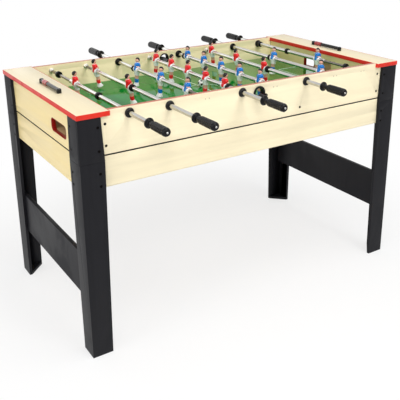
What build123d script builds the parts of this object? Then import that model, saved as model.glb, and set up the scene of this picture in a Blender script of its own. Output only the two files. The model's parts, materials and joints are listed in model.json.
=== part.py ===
"""Table football table with eight telescopic rods, built from separate named pieces.

X runs along the table (left goal at -X), -Y is the front long side, +Z is up.
The origin is on the floor under the middle of the table. All sizes are in millimetres.
"""
import os
from build123d import *

# Cabinet
TABLE_L = 1400.0
TABLE_W = 740.0
TABLE_H = 870.0
BOARD = 15.0
CAP_W = 112.0
CAP_T = 16.0
CAP_OVERHANG = 2.5
WALL_H = 145.5
APRON_H = 106.5
GROOVE = 5.0
EDGE_T = 2.0
GOAL_RECESS = 6.0
END_LANE = 78.5
PITCH_T = 9.0

# Legs
LEG_T = 11.0
COVER_TOP_W = 78.0
COVER_FLARE = 7.0
LEG_TAPER = 11.0
SEAM_DROP = 19.0
SEAM_GAP = 1.0
FOOT_PLATE_T = 12.0
CROSS_TOP_Z = 367.0
CROSS_H = 161.0

# Clearances and fits
RUN_FIT = 0.05
HOLE_FIT = 0.3
STOP_GAP = 1.0
REACH_GAP = 4.7
FOOT_GAP = 6.0

# Telescopic rods: outer tube, inner rod, bumper rings
ROD_DROP = 22.0
TUBE_R = 8.0
TUBE_WALL = 2.45
TUBE_SHOW = 1.0
GRIP_OVERLAP = 70.0
BORE_SPARE = 10.0
BUMPER_WALL = 5.0
BUMPER_L = 12.0
TAIL_SPARE = 5.0
KEEPER_TAIL_SPARE = 32.0
KEEPER_STOP = 205.0
KEEPER_RING_L = 20.0
FAR_RING = 80.6

# Wall bushings and far flanges
BUSH_WALL = 3.0
DOME_RIM = 5.75
DOME_L = 8.0
NUT_RIM = 5.0
NUT_L = 5.0
FLANGE_RIM = 5.0
FLANGE_L = 4.0
BOSS_WALL = 2.2
BOSS_L = 10.0

# Handles
HANDLE_L = 116.0
COLLAR_WALL = 9.5
COLLAR_L = 4.0
COLLAR_TAPER = 3.0
NECK_WALL = 1.6
NECK_L = 19.0
GRIP_WALL = 6.0
GRIP_EASE = 8.0
SWELL_WALL = 6.8
TIP_WALL = 3.5
TIP_L = 9.0
FLUTE_COUNT = 10
FLUTE_R = 2.6
FLUTE_DEPTH = 1.0
FLUTE_EASE = 6.0

# Players, measured up and down from the rod's axis
MAN_HALF = 16.5
HIP_WALL = 4.5
HIP_HALF = 12.0
CHEST_DEPTH = 17.0
WAIST_HALF = 11.0
WAIST_UP = 3.0
SHOULDER_HALF = 15.0
SHOULDER_UP = 24.0
YOKE_HALF = 12.0
YOKE_UP = 29.0
ARM_DEPTH = 12.0
ARM_LOW = 9.0
ARM_UP = 25.0
THROAT_R = 4.5
HEAD_R = 9.5
HEAD_UP = 40.0
THIGH_HALF = 11.0
THIGH_DROP = 4.0
ANKLE_HALF = 8.5
LEG_DEPTH = 16.0
BOOT_H = 16.5
BOOT_HALF = 10.0
ANKLE_LAP = 2.0
HEEL = 10.0
TOE = 13.0
TOE_H = 9.5
SOLE_H = 2.0
SOLE_BEVEL = 3.0
SOLE_EASE = 1.44

# Openings
BALL_R = 16.0
BALL_Y = 31.4
GOAL_HALF = 90.0
GOAL_H = 52.0
LINER_T = 2.0
RETURN_W = 136.0
RETURN_H = 48.0
RETURN_R = 17.0
RETURN_CORNER = 101.5
RETURN_RISE = 3.0

# Serve cups
SERVE_PLAY = 2.0
SERVE_EDGE = 9.0
SERVE_RIM = 7.0
SERVE_RIM_T = 4.0
BOWL_WALL = 3.0
BOWL_L = 14.0
BOWL_DROP = 2.0
INNER_RIM = 5.5
INNER_RIM_T = 2.5

# Hidden supports
BATTEN_T = 18.0
BATTEN_H = 70.0
POST = 40.0
CROSS_BATTEN_X = 210.0
TRAY_T = 8.0
TRAY_FALL = 8.0
TRAY_CLEAR = 18.0

# Screws, with their heights over the lower edge of the board they hold
SCREW_HEAD_R = 4.5
SCREW_HEAD_L = 2.2
SHANK_R = 2.0
SHANK_L = 20.0
SCREW_EDGE = 11.0
COVER_SCREWS = (96.0, 17.5)
LEG_SCREWS = (53.2, 10.9)
WALL_SCREWS = (100.6, 28.3)
MIDDLE_SCREW = 26.2
MIDDLE_SCREW_X = 194.6
SMALL_HEAD_R = 2.6
SMALL_HEAD_L = 1.2
SMALL_SHANK_R = 1.4
FLANGE_SCREW_EDGE = 2.5
FLANGE_SCREW_BITE = 2.4

# Scorers, with the share of the free travel where each bead rests
RAIL_R = 7.0
RAIL_HALF = 85.0
POST_W = 16.0
POST_D = 14.0
POST_OVER = 7.5
POST_ROUND = 4.0
BEAD_WALL = 1.5
BEAD_L = 40.0
BEAD_CLEAR = 1.0
LEFT_BEAD = 0.74
RIGHT_BEAD = 0.90

# Rods from left to right: name, handle side, players, share of the far travel at rest, lean in degrees.
# The third rod's rest place follows the second rod's, so both sides' handles reach equally far.
RODS = [
    ("red_keeper", -1, 1, 0.42, -5.0),
    ("red_defence", -1, 2, 0.58, -11.0),
    ("blue_attack", 1, 3, None, 5.0),
    ("red_midfield", -1, 5, 0.41, 3.0),
    ("blue_midfield", 1, 5, 0.02, 0.0),
    ("red_attack", -1, 3, 0.90, -8.0),
    ("blue_defence", 1, 2, 0.78, 4.0),
    ("blue_keeper", 1, 1, 0.43, 0.0),
]
# Whole travel of a rod and the room between collar and wall, by its number of players
TRAVEL = {2: 310.5, 3: 218.7, 5: 85.4}
HAND_GAP = {1: 11.0, 2: 98.0, 3: 82.0, 5: 99.0}

# Planes that follow from the sizes
X_CAP = TABLE_L / 2
Y_CAP = TABLE_W / 2
X_LEG = X_CAP - CAP_OVERHANG
Y_LEG = Y_CAP - CAP_OVERHANG
X_OUT = X_LEG - LEG_T
Y_OUT = Y_LEG - LEG_T
X_IN = X_OUT - BOARD
Y_IN = Y_OUT - BOARD
Z_CAP = TABLE_H - CAP_T
Z_WALL = TABLE_H - WALL_H
Z_APRON = Z_WALL - GROOVE
Z_LOW = Z_APRON - APRON_H
Z_SEAM = Z_WALL - SEAM_DROP
X_CAP_IN = X_CAP - CAP_W
X_GOAL = X_CAP_IN + GOAL_RECESS
X_TRAY = X_GOAL + BOARD
Z_ROD = TABLE_H - ROD_DROP
ROD_GAPS = len(RODS) - 1
ROD_PITCH = 2 * (X_GOAL - END_LANE) / ROD_GAPS
REACH = ROD_PITCH / 2 - REACH_GAP
Z_PITCH = Z_ROD - REACH - FOOT_GAP
Z_UNDER = Z_PITCH - PITCH_T
Z_RETURN = Z_PITCH + RETURN_RISE
Z_TRAY = Z_RETURN - RETURN_H / 2
RETURN_Y = Y_IN - RETURN_CORNER - RETURN_W / 2

# Radii that follow from the tube, the rail and the ball
BORE_R = TUBE_R + RUN_FIT
INNER_R = TUBE_R - TUBE_WALL - RUN_FIT
BUMPER_R = TUBE_R + BUMPER_WALL
BUSH_R = TUBE_R + BUSH_WALL
DOME_R = BUSH_R + DOME_RIM
NUT_R = BUSH_R + NUT_RIM
FLANGE_R = INNER_R + FLANGE_RIM
BOSS_R = INNER_R + BOSS_WALL
FLANGE_SCREW = INNER_R + FLANGE_SCREW_EDGE
HIP_R = TUBE_R + HIP_WALL
SERVE_R = BALL_R + SERVE_PLAY
SERVE_RIM_R = SERVE_R + SERVE_RIM
BOWL_R = SERVE_R + BOWL_WALL
Z_SERVE = TABLE_H - SERVE_EDGE - SERVE_RIM_R
BEAD_R = RAIL_R + BEAD_WALL
RAIL_RISE = BEAD_R + BEAD_CLEAR
POST_H = RAIL_RISE + POST_OVER

# Lengths that follow
LEG_TOP_W = COVER_TOP_W + COVER_FLARE
LEG_FOOT_W = LEG_TOP_W - LEG_TAPER
SCREW_IN = COVER_TOP_W - SCREW_EDGE
WALL_SCREW_X = X_GOAL + BOARD / 2
SOLE = REACH - SOLE_EASE
TAIL = MAN_HALF + TAIL_SPARE
KEEPER_TAIL = MAN_HALF + KEEPER_TAIL_SPARE
NEAR_ROOM = Y_IN - NUT_L - MAN_HALF - BUMPER_L - 2 * STOP_GAP
FAR_ROOM = Y_IN - FLANGE_L - BOSS_L - TAIL - STOP_GAP
BEAD_FREE = RAIL_HALF - POST_D / 2 - BEAD_L / 2 - STOP_GAP


def block(x0, x1, y0, y1, z0, z1):
    """Box between two corners given in any order."""
    size = (abs(x1 - x0), abs(y1 - y0), abs(z1 - z0))
    return Pos((x0 + x1) / 2, (y0 + y1) / 2, (z0 + z1) / 2) * Box(*size)


def rod_y(r, x, z, y0, y1):
    """Cylinder along Y."""
    return Pos(x, (y0 + y1) / 2, z) * Rot(90, 0, 0) * Cylinder(r, abs(y1 - y0))


def rod_x(r, y, z, x0, x1):
    """Cylinder along X."""
    return Pos((x0 + x1) / 2, y, z) * Rot(0, 90, 0) * Cylinder(r, abs(x1 - x0))


def ring_y(r_out, r_in, x, z, y0, y1):
    """Ring along Y."""
    length = y1 - y0
    return rod_y(r_out, x, z, y0, y1) - rod_y(r_in, x, z, y0 - length, y1 + length)


def prism(points, axis, lo, hi):
    """Polygon pushed along one axis; the points use the other two axes in order."""
    place = {
        "x": lambda a, b: (lo, a, b),
        "y": lambda a, b: (a, lo, b),
        "z": lambda a, b: (a, b, lo),
    }[axis]
    way = {"x": (1, 0, 0), "y": (0, 1, 0), "z": (0, 0, 1)}[axis]
    face = make_face(Polyline(*[place(a, b) for a, b in points], close=True))
    return extrude(face, amount=hi - lo, dir=way)


def group(pieces):
    """Separate solids that share one node."""
    return Compound(children=list(pieces))


def save(name, shape):
    """Writes one node."""
    export_step(shape, f"parts/{name}.step")


def spacing(men):
    """Distance between the players of one rod, which leaves the rod its travel between the walls."""
    if men == 1:
        return 0.0
    return (NEAR_ROOM + FAR_ROOM - TRAVEL[men]) / (men - 1)


def half_span(men):
    """Distance from a rod's middle to its outermost player."""
    return spacing(men) * (men - 1) / 2


def travel(men):
    """Free travel of a rod's middle, towards the handle side and towards the far side."""
    if men == 1:
        near = Y_IN - NUT_L - KEEPER_RING_L - KEEPER_STOP - BUMPER_L / 2 - STOP_GAP
        far = Y_IN - FAR_RING - BUMPER_L / 2 - KEEPER_TAIL - STOP_GAP
        return near, far
    return NEAR_ROOM - half_span(men), FAR_ROOM - half_span(men)


def reach_out(men):
    """Distance from a rod's middle to its handle collar."""
    return Y_OUT + travel(men)[1] + HAND_GAP[men]


def rest_offset(index):
    """Rest place of a rod's middle, positive towards its far wall."""
    name, side, men, share, lean = RODS[index]
    if share is None:
        return reach_out(men) - reach_out(RODS[1][2]) + rest_offset(1)
    return share * travel(men)[1]


def rod_place(index):
    """Place of a rod along the table."""
    return (index - ROD_GAPS / 2) * ROD_PITCH


def player(x, y, facing, lean):
    """One player moulded round the tube, facing +X or -X, tilted about the tube."""
    hips = rod_y(HIP_R, 0, 0, -HIP_HALF, HIP_HALF)
    half = [(WAIST_HALF, WAIST_UP), (SHOULDER_HALF, SHOULDER_UP), (YOKE_HALF, YOKE_UP)]
    outline = half + [(-a, b) for a, b in reversed(half)]
    chest = prism(outline, "x", -CHEST_DEPTH / 2, CHEST_DEPTH / 2)
    arms = block(-ARM_DEPTH / 2, ARM_DEPTH / 2, -MAN_HALF, MAN_HALF, ARM_LOW, ARM_UP)
    throat = Pos(0, 0, (YOKE_UP + HEAD_UP) / 2) * Cylinder(THROAT_R, HEAD_UP - YOKE_UP)
    head = Pos(0, 0, HEAD_UP) * Sphere(HEAD_R)
    ankle = BOOT_H - SOLE - ANKLE_LAP
    half = [(THIGH_HALF, -THIGH_DROP), (ANKLE_HALF, ankle)]
    outline = half + [(-a, b) for a, b in reversed(half)]
    legs = prism(outline, "x", -LEG_DEPTH / 2, LEG_DEPTH / 2)
    side_view = [
        (-LEG_DEPTH / 2, BOOT_H - SOLE),
        (LEG_DEPTH / 2, BOOT_H - SOLE),
        (TOE, TOE_H - SOLE),
        (TOE, SOLE_H - SOLE),
        (TOE - SOLE_BEVEL, -SOLE),
        (-LEG_DEPTH / 2, -SOLE),
        (-HEEL, SOLE_H - SOLE),
    ]
    boots = prism(side_view, "y", -BOOT_HALF, BOOT_HALF)
    man = hips + chest + arms + throat + head + legs + boots
    man -= rod_y(BORE_R, 0, 0, -2 * MAN_HALF, 2 * MAN_HALF)
    turn = 0 if facing > 0 else 180
    return Pos(x, y, Z_ROD) * Rot(0, lean, 0) * Rot(0, 0, turn) * man


def handle():
    """Handle along Y from its collar at 0: collar disc, neck, fluted grip that swells towards a rounded end."""
    collar, neck, slim, full, tip = (
        TUBE_R + wall for wall in (COLLAR_WALL, NECK_WALL, GRIP_WALL, SWELL_WALL, TIP_WALL)
    )
    collar_end = COLLAR_L + COLLAR_TAPER
    grip_start = collar_end + NECK_L + GRIP_EASE
    grip_end = HANDLE_L - TIP_L
    profile = [
        (BORE_R, 0),
        (collar, 0),
        (collar, COLLAR_L),
        (neck, collar_end),
        (neck, collar_end + NECK_L),
        (slim, grip_start),
        (full, grip_end),
        (tip, HANDLE_L),
        (BORE_R, HANDLE_L),
    ]
    face = make_face(Polyline(*[(r, t, 0) for r, t in profile], close=True))
    turned = revolve(face, axis=Axis.Y)
    middle = (slim + full) / 2 + FLUTE_R - FLUTE_DEPTH
    flute = rod_y(FLUTE_R, middle, 0, grip_start + FLUTE_EASE, grip_end - FLUTE_EASE)
    flutes = [Rot(0, 360 * k / FLUTE_COUNT, 0) * flute for k in range(FLUTE_COUNT)]
    return turned - flutes


def window(grow, x0, x1, y):
    """Rounded slot through an end panel."""
    width = RETURN_W + 2 * grow
    height = RETURN_H + 2 * grow
    radius = min(RETURN_R + grow, 0.45 * height)
    plane = Plane((x0, y, Z_RETURN), x_dir=(0, 1, 0), z_dir=(1, 0, 0))
    return extrude(plane * RectangleRounded(width, height, radius), amount=x1 - x0, dir=(1, 0, 0))


def serve_cup(sy):
    """Hole liner with an outer rim and a half bowl that guides the ball in; sy is the wall's side."""
    out = sy * Y_OUT
    rim_face = out + sy * SERVE_RIM_T
    bowl_end = rim_face + sy * BOWL_L
    clear = 2 * SERVE_RIM_R
    cup = ring_y(SERVE_R + LINER_T, SERVE_R, 0, Z_SERVE, *sorted((sy * Y_IN, out)))
    cup += ring_y(SERVE_RIM_R, SERVE_R, 0, Z_SERVE, *sorted((out, rim_face)))
    bowl = rod_y(BOWL_R, 0, Z_SERVE, rim_face, bowl_end) + Pos(0, bowl_end, Z_SERVE) * Sphere(BOWL_R)
    bowl -= rod_y(SERVE_R, 0, Z_SERVE, out, bowl_end) + Pos(0, bowl_end, Z_SERVE) * Sphere(SERVE_R)
    bowl -= block(-clear, clear, out - clear, out + clear, Z_SERVE - BOWL_DROP, Z_SERVE + clear)
    bowl -= block(-clear, clear, rim_face, out - sy * clear, Z_SERVE - clear, Z_SERVE + clear)
    return cup + bowl


def angle_boards(sx, sy, low, high, wide_low, wide_high):
    """Two tapered boards that wrap one corner of the cabinet between two heights."""
    long_face = [(X_LEG, low), (X_LEG, high), (X_LEG - wide_high, high), (X_LEG - wide_low, low)]
    end_face = [(Y_OUT, low), (Y_OUT, high), (Y_LEG - wide_high, high), (Y_LEG - wide_low, low)]
    along = prism([(sx * a, b) for a, b in long_face], "y", *sorted((sy * Y_OUT, sy * Y_LEG)))
    across = prism([(sy * a, b) for a, b in end_face], "x", *sorted((sx * X_OUT, sx * X_LEG)))
    return drilled(along), drilled(across)


def drilled(shape):
    """Shape with every screw hole that reaches it."""
    box = shape.bounding_box()
    cuts = []
    for bore in bores:
        other = bore.bounding_box()
        meet_x = other.max.X > box.min.X and other.min.X < box.max.X
        meet_y = other.max.Y > box.min.Y and other.min.Y < box.max.Y
        meet_z = other.max.Z > box.min.Z and other.min.Z < box.max.Z
        if meet_x and meet_y and meet_z:
            cuts.append(bore)
    return shape - cuts if cuts else shape


os.makedirs("parts", exist_ok=True)
CORNERS = [(sx, sy) for sx in (-1, 1) for sy in (-1, 1)]

# Screws through the corner boards and the walls, with the holes they need
screws = []
bores = []
y_screws = [(-sy * MIDDLE_SCREW_X, sy, Y_OUT, Z_WALL + MIDDLE_SCREW) for sy in (-1, 1)]
x_screws = []
for sx, sy in CORNERS:
    for z in [Z_WALL + rise for rise in COVER_SCREWS] + [Z_LOW + rise for rise in LEG_SCREWS]:
        y_screws.append((sx * (X_LEG - SCREW_IN), sy, Y_LEG, z))
        x_screws.append((sy * (Y_LEG - SCREW_IN), sx, X_LEG, z))
    y_screws += [(sx * WALL_SCREW_X, sy, Y_OUT, Z_WALL + rise) for rise in WALL_SCREWS]
for shaft, places in ((rod_y, y_screws), (rod_x, x_screws)):
    for across, sign, face, z in places:
        head = shaft(SCREW_HEAD_R, across, z, sign * face, sign * (face + SCREW_HEAD_L))
        shank = shaft(SHANK_R, across, z, sign * face, sign * (face - SHANK_L))
        screws.append(head + shank)
        hole_end = face - SHANK_L - STOP_GAP
        bores.append(shaft(SHANK_R + HOLE_FIT, across, z, sign * face, sign * hole_end))

# Small screws through each rod's far wall into its flange
flange_bores = {-1: [], 1: []}
for i, (name, side, men, share, lean) in enumerate(RODS):
    far = -side
    for x in (rod_place(i) - FLANGE_SCREW, rod_place(i) + FLANGE_SCREW):
        face = far * Y_OUT
        tip = far * (Y_IN - FLANGE_SCREW_BITE)
        head = rod_y(SMALL_HEAD_R, x, Z_ROD, face, face + far * SMALL_HEAD_L)
        screws.append(head + rod_y(SMALL_SHANK_R, x, Z_ROD, tip, face))
        flange_bores[far].append(rod_y(SMALL_SHANK_R + HOLE_FIT, x, Z_ROD, tip - far * HOLE_FIT, face))
save("screws", group(screws))

# Long walls with rod holes, a serve hole and a rebate under each top board
for name, sy in (("front_wall", -1), ("back_wall", 1)):
    wall = block(-X_OUT, X_OUT, sy * Y_IN, sy * Y_OUT, Z_WALL, TABLE_H)
    through = (sy * (Y_IN - BOARD), sy * (Y_OUT + BOARD))
    for sx in (-1, 1):
        wall -= block(sx * X_CAP_IN, sx * X_CAP, *through, Z_CAP, TABLE_H)
    for i, (rod, side, men, share, lean) in enumerate(RODS):
        if side == sy:
            wall -= rod_y(BUSH_R + HOLE_FIT, rod_place(i), Z_ROD, *through)
    wall -= rod_y(SERVE_R + LINER_T + HOLE_FIT, 0, Z_SERVE, *through)
    wall -= flange_bores[sy]
    save(name, drilled(wall))

# Aprons under the walls
for name, sy in (("front_apron", -1), ("back_apron", 1)):
    save(name, drilled(block(-X_OUT, X_OUT, sy * Y_IN, sy * Y_OUT, Z_LOW, Z_APRON)))
end_aprons = [block(sx * X_IN, sx * X_OUT, -Y_IN, Y_IN, Z_LOW, Z_APRON) for sx in (-1, 1)]
save("end_aprons", group(drilled(apron) for apron in end_aprons))

# End panels with a ball return window near one corner, half a turn apart
liners = []
for name, sx in (("left_end_panel", -1), ("right_end_panel", 1)):
    panel = block(sx * X_IN, sx * X_OUT, -Y_IN, Y_IN, Z_WALL, Z_CAP)
    lo, hi = sorted((sx * X_IN, sx * X_OUT))
    panel -= window(0, lo - BOARD, hi + BOARD, sx * RETURN_Y)
    save(name, drilled(panel))
    hollow = window(-LINER_T, lo - BOARD, hi + BOARD, sx * RETURN_Y)
    liners.append(window(0, lo, hi, sx * RETURN_Y) - hollow)

# Goal walls between the pitch and the top boards, with lined goal mouths
goal_walls = []
for sx in (-1, 1):
    through = (sx * (X_GOAL - BOARD), sx * (X_TRAY + BOARD))
    wall = block(sx * X_GOAL, sx * X_TRAY, -Y_IN, Y_IN, Z_PITCH, Z_CAP)
    wall -= block(*through, -GOAL_HALF, GOAL_HALF, Z_PITCH - BOARD, Z_PITCH + GOAL_H)
    goal_walls.append(drilled(wall))
    inside = GOAL_HALF - LINER_T
    lining = block(sx * X_GOAL, sx * X_TRAY, -GOAL_HALF, GOAL_HALF, Z_PITCH, Z_PITCH + GOAL_H)
    lining -= block(*through, -inside, inside, Z_PITCH - BOARD, Z_PITCH + GOAL_H - LINER_T)
    liners.append(lining)
save("goal_walls", group(goal_walls))
save("opening_liners", group(liners))

# Pitch board
save("playfield", block(-X_TRAY, X_TRAY, -Y_IN, Y_IN, Z_UNDER, Z_PITCH))

# Hidden battens that carry the pitch, and corner posts that the boards are screwed to
battens = []
batten_end = Y_IN - BATTEN_T
Z_BATTEN = Z_UNDER - BATTEN_H
for sy in (-1, 1):
    battens.append(block(-(X_IN - POST), X_IN - POST, sy * batten_end, sy * Y_IN, Z_BATTEN, Z_UNDER))
for sx in (-1, 1):
    end_top = Z_TRAY - TRAY_T - TRAY_CLEAR
    battens.append(block(sx * (X_IN - BATTEN_T), sx * X_IN, -(Y_IN - POST), Y_IN - POST, Z_BATTEN, end_top))
    x0, x1 = sx * CROSS_BATTEN_X, sx * (CROSS_BATTEN_X + POST)
    battens.append(block(x0, x1, -batten_end, batten_end, Z_UNDER - BATTEN_T, Z_UNDER))
for sx, sy in CORNERS:
    battens.append(block(sx * (X_IN - POST), sx * X_IN, sy * (Y_IN - POST), sy * Y_IN, Z_LOW, Z_UNDER))
save("cabinet_battens", group(drilled(batten) for batten in battens))

# Sloping ball trays behind the goals, falling towards the return window
trays = []
for sx in (-1, 1):
    deep = sx * (RETURN_Y + RETURN_W / 2 + TRAY_T)
    shallow = -sx * (GOAL_HALF + TRAY_T)
    z_high = Z_TRAY + TRAY_FALL
    slope = [(shallow, z_high), (deep, Z_TRAY), (deep, Z_TRAY - TRAY_T), (shallow, z_high - TRAY_T)]
    lo, hi = sorted((sx * X_TRAY, sx * X_IN))
    tray = prism(slope, "x", lo, hi)
    tray += block(lo, hi, deep, deep - sx * TRAY_T, Z_TRAY - TRAY_T, Z_TRAY + RETURN_H)
    tray += block(lo, hi, shallow, shallow + sx * TRAY_T, Z_TRAY, Z_TRAY + RETURN_H)
    trays.append(tray)
save("ball_trays", group(trays))

# Top boards and their edging
edging = []
for name, sx in (("left_top_board", -1), ("right_top_board", 1)):
    x0, x1 = sorted((sx * X_CAP_IN, sx * X_CAP))
    core = (x0 + EDGE_T, x1 - EDGE_T, -Y_CAP + EDGE_T, Y_CAP - EDGE_T)
    save(name, block(*core, Z_CAP, TABLE_H))
    band = block(x0, x1, -Y_CAP, Y_CAP, Z_CAP, TABLE_H)
    edging.append(band - block(*core, Z_CAP - CAP_T, TABLE_H + CAP_T))
save("red_edging", group(edging))

# Corner covers above the seam, legs below it, each with a triangular foot plate
covers = []
legs = {-1: [], 1: []}
for sx, sy in CORNERS:
    covers += angle_boards(sx, sy, Z_SEAM + SEAM_GAP, Z_CAP, LEG_TOP_W, COVER_TOP_W)
    legs[sx] += angle_boards(sx, sy, 0.0, Z_SEAM, LEG_FOOT_W, LEG_TOP_W)
    run = LEG_FOOT_W - LEG_T
    corner = [(sx * X_OUT, sy * Y_OUT), (sx * (X_OUT - run), sy * Y_OUT), (sx * X_OUT, sy * (Y_OUT - run))]
    legs[sx].append(prism(corner, "z", 0.0, FOOT_PLATE_T))
save("corner_covers", group(covers))
save("left_legs", group(legs[-1]))
save("right_legs", group(legs[1]))

# Cross panels between the legs of each end
z_span = (CROSS_TOP_Z - CROSS_H, CROSS_TOP_Z)
save("cross_panels", group(block(sx * X_IN, sx * X_OUT, -Y_OUT, Y_OUT, *z_span) for sx in (-1, 1)))

# Serve cups on the outside and rims on the inside of the long walls
cups = []
for sy in (-1, 1):
    cups.append(serve_cup(sy))
    rim = sorted((sy * Y_IN, sy * (Y_IN - INNER_RIM_T)))
    cups.append(ring_y(SERVE_R + INNER_RIM, SERVE_R, 0, Z_SERVE, *rim))
save("serve_cups", group(cups))

# Scorers: a rail on two posts on each top board, with one sliding bead
rails = []
for name, sx, share in (("left_scorer_bead", -1, LEFT_BEAD), ("right_scorer_bead", 1, RIGHT_BEAD)):
    x = sx * (X_CAP - CAP_W / 2)
    z = TABLE_H + RAIL_RISE
    rail = rod_y(RAIL_R, x, z, -RAIL_HALF, RAIL_HALF)
    for sy in (-1, 1):
        ends = (sy * (RAIL_HALF - POST_D / 2), sy * (RAIL_HALF + POST_D / 2))
        post = block(x - POST_W / 2, x + POST_W / 2, *ends, TABLE_H, TABLE_H + POST_H)
        rail += fillet(post.edges().filter_by(Axis.Z), min(POST_ROUND, 0.45 * POST_D))
    rails.append(rail)
    y = share * BEAD_FREE
    save(name, ring_y(BEAD_R, RAIL_R + RUN_FIT, x, z, y - BEAD_L / 2, y + BEAD_L / 2))
save("scorer_rails", group(rails))

# Ball on the pitch between the two midfield rods
save("ball", Pos(0, BALL_Y, Z_PITCH + BALL_R) * Sphere(BALL_R))

# Rods: bushing and far flange on the walls, fixed inner rod, sliding tube with players, bumper and handle
bushings = []
flanges = []
inner_rods = []
grip = handle()
for i, (name, side, men, share, lean) in enumerate(RODS):
    x = rod_place(i)
    far = -side
    near_travel, far_travel = travel(men)
    middle = far * rest_offset(i)
    half = half_span(men)
    tail = KEEPER_TAIL if men == 1 else TAIL

    # Bushing with a dome outside and a nut inside
    through = (side * (Y_IN - BOARD), side * (Y_OUT + BOARD))
    nut_face = side * (Y_IN - NUT_L)
    dome = Cone(DOME_R, BUSH_R, DOME_L)
    bush = Pos(x, side * (Y_OUT + DOME_L / 2), Z_ROD) * Rot(-90 * side, 0, 0) * dome
    bush += rod_y(BUSH_R, x, Z_ROD, nut_face, side * Y_OUT)
    bushings.append(bush - rod_y(BORE_R, x, Z_ROD, *through))
    bushings.append(ring_y(NUT_R, BUSH_R, x, Z_ROD, *sorted((side * Y_IN, nut_face))))
    if men == 1:
        ring = sorted((nut_face, nut_face - side * KEEPER_RING_L))
        bushings.append(ring_y(BUMPER_R, TUBE_R + HOLE_FIT, x, Z_ROD, *ring))
        stop = far * (Y_IN - FAR_RING)
        bushings.append(ring_y(BUMPER_R, INNER_R, x, Z_ROD, stop - BUMPER_L / 2, stop + BUMPER_L / 2))

    # Far flange and the fixed inner rod
    wall = far * Y_IN
    boss_end = wall - far * (FLANGE_L + BOSS_L)
    flange = rod_y(FLANGE_R, x, Z_ROD, wall, wall - far * FLANGE_L)
    flange += rod_y(BOSS_R, x, Z_ROD, wall, boss_end)
    flange -= rod_y(INNER_R, x, Z_ROD, wall + far * BOSS_L, boss_end - far * BOSS_L)
    flanges.append(flange - flange_bores[far])
    pulled_end = half + tail - near_travel
    inner_rods.append(rod_y(INNER_R, x, Z_ROD, wall, far * (pulled_end - GRIP_OVERLAP)))

    # Tube from just past the far player to the handle's end, bored for the inner rod
    tube_end = middle + far * (half + tail)
    collar = middle + side * reach_out(men)
    depth = GRIP_OVERLAP + near_travel + far_travel + BORE_SPARE
    tube = rod_y(TUBE_R, x, Z_ROD, tube_end, collar + side * (HANDLE_L + TUBE_SHOW))
    tube -= rod_y(INNER_R + RUN_FIT, x, Z_ROD, tube_end + far * STOP_GAP, tube_end - far * depth)
    save(f"{name}_tube", tube)

    # Players, bumper and handle
    places = [middle + (k - (men - 1) / 2) * spacing(men) for k in range(men)]
    save(f"{name}_players", group(player(x, y, far, lean) for y in places))
    stop_out = KEEPER_STOP if men == 1 else half + MAN_HALF + STOP_GAP + BUMPER_L / 2
    bumper = middle + side * stop_out
    save(f"{name}_bumper", ring_y(BUMPER_R, BORE_R, x, Z_ROD, bumper - BUMPER_L / 2, bumper + BUMPER_L / 2))
    pointing = Rot(0, 0, 0 if side > 0 else 180)
    save(f"{name}_handle", Pos(x, collar, Z_ROD) * pointing * grip)
save("rod_bushings", group(bushings))
save("rod_flanges", group(flanges))
save("inner_rods", group(inner_rods))
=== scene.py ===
"""Table football game with eight telescopic rods: its finished pieces, finishes and stage, as an add-on."""
import functools
import json
import math

import bmesh
import bpy
import numpy as np
from bpy.props import FloatProperty, FloatVectorProperty, IntProperty, PointerProperty
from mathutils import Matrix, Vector


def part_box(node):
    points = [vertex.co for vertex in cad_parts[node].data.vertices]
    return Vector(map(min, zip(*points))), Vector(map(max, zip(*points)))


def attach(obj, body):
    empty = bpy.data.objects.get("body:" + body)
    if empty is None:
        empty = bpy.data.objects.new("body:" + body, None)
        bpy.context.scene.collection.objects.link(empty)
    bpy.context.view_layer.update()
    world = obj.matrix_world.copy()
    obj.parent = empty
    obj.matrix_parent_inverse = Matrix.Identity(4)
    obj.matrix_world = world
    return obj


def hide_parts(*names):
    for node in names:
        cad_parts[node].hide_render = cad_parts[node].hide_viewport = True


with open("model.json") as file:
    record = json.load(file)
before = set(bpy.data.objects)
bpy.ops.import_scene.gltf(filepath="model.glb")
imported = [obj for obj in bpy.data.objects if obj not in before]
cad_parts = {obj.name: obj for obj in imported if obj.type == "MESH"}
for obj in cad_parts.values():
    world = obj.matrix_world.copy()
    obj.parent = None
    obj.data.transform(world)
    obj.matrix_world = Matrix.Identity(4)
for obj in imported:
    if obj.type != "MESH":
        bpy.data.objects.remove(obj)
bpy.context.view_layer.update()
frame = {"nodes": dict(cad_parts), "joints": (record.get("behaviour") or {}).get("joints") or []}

bl_info = {
    "name": "Table football",
    "version": (1, 0, 0),
    "blender": (4, 5, 0),
    "location": "3D View > Sidebar > Table football",
    "description": "Finished pieces, finishes and stage of a table football game",
    "category": "Add Mesh",
}

MM = 0.001
TURN = 2 * math.pi

JOINTS = {joint["name"]: joint for joint in frame["joints"]}


class Rod:
    """A rod: its name, number of players, their lean in degrees, its axis, travel and handle side."""

    def __init__(self, name, men, lean):
        self.name = name
        self.men = men
        self.lean = lean
        self.team = name.split("_")[0]
        self.side = -1.0 if self.team == "red" else 1.0
        self.x, self.z = JOINTS[f"{name}_spin"]["pos_m"][::2]
        first, last = JOINTS[f"{name}_slide"]["range_m"]
        self.travel = last - first

    def extent(self, part):
        """Place of a piece's end that lies away from the handle's tip, and the piece's length in mm."""
        low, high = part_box(f"{self.name}_{part}")
        return low.y if self.side > 0 else high.y, (high.y - low.y) / MM


# Rods from left to right
RODS = (
    Rod("red_keeper", 1, -5.0),
    Rod("red_defence", 2, -11.0),
    Rod("blue_attack", 3, 5.0),
    Rod("red_midfield", 5, 3.0),
    Rod("blue_midfield", 5, 0.0),
    Rod("red_attack", 3, -8.0),
    Rod("blue_defence", 2, 4.0),
    Rod("blue_keeper", 1, 0.0),
)

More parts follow.
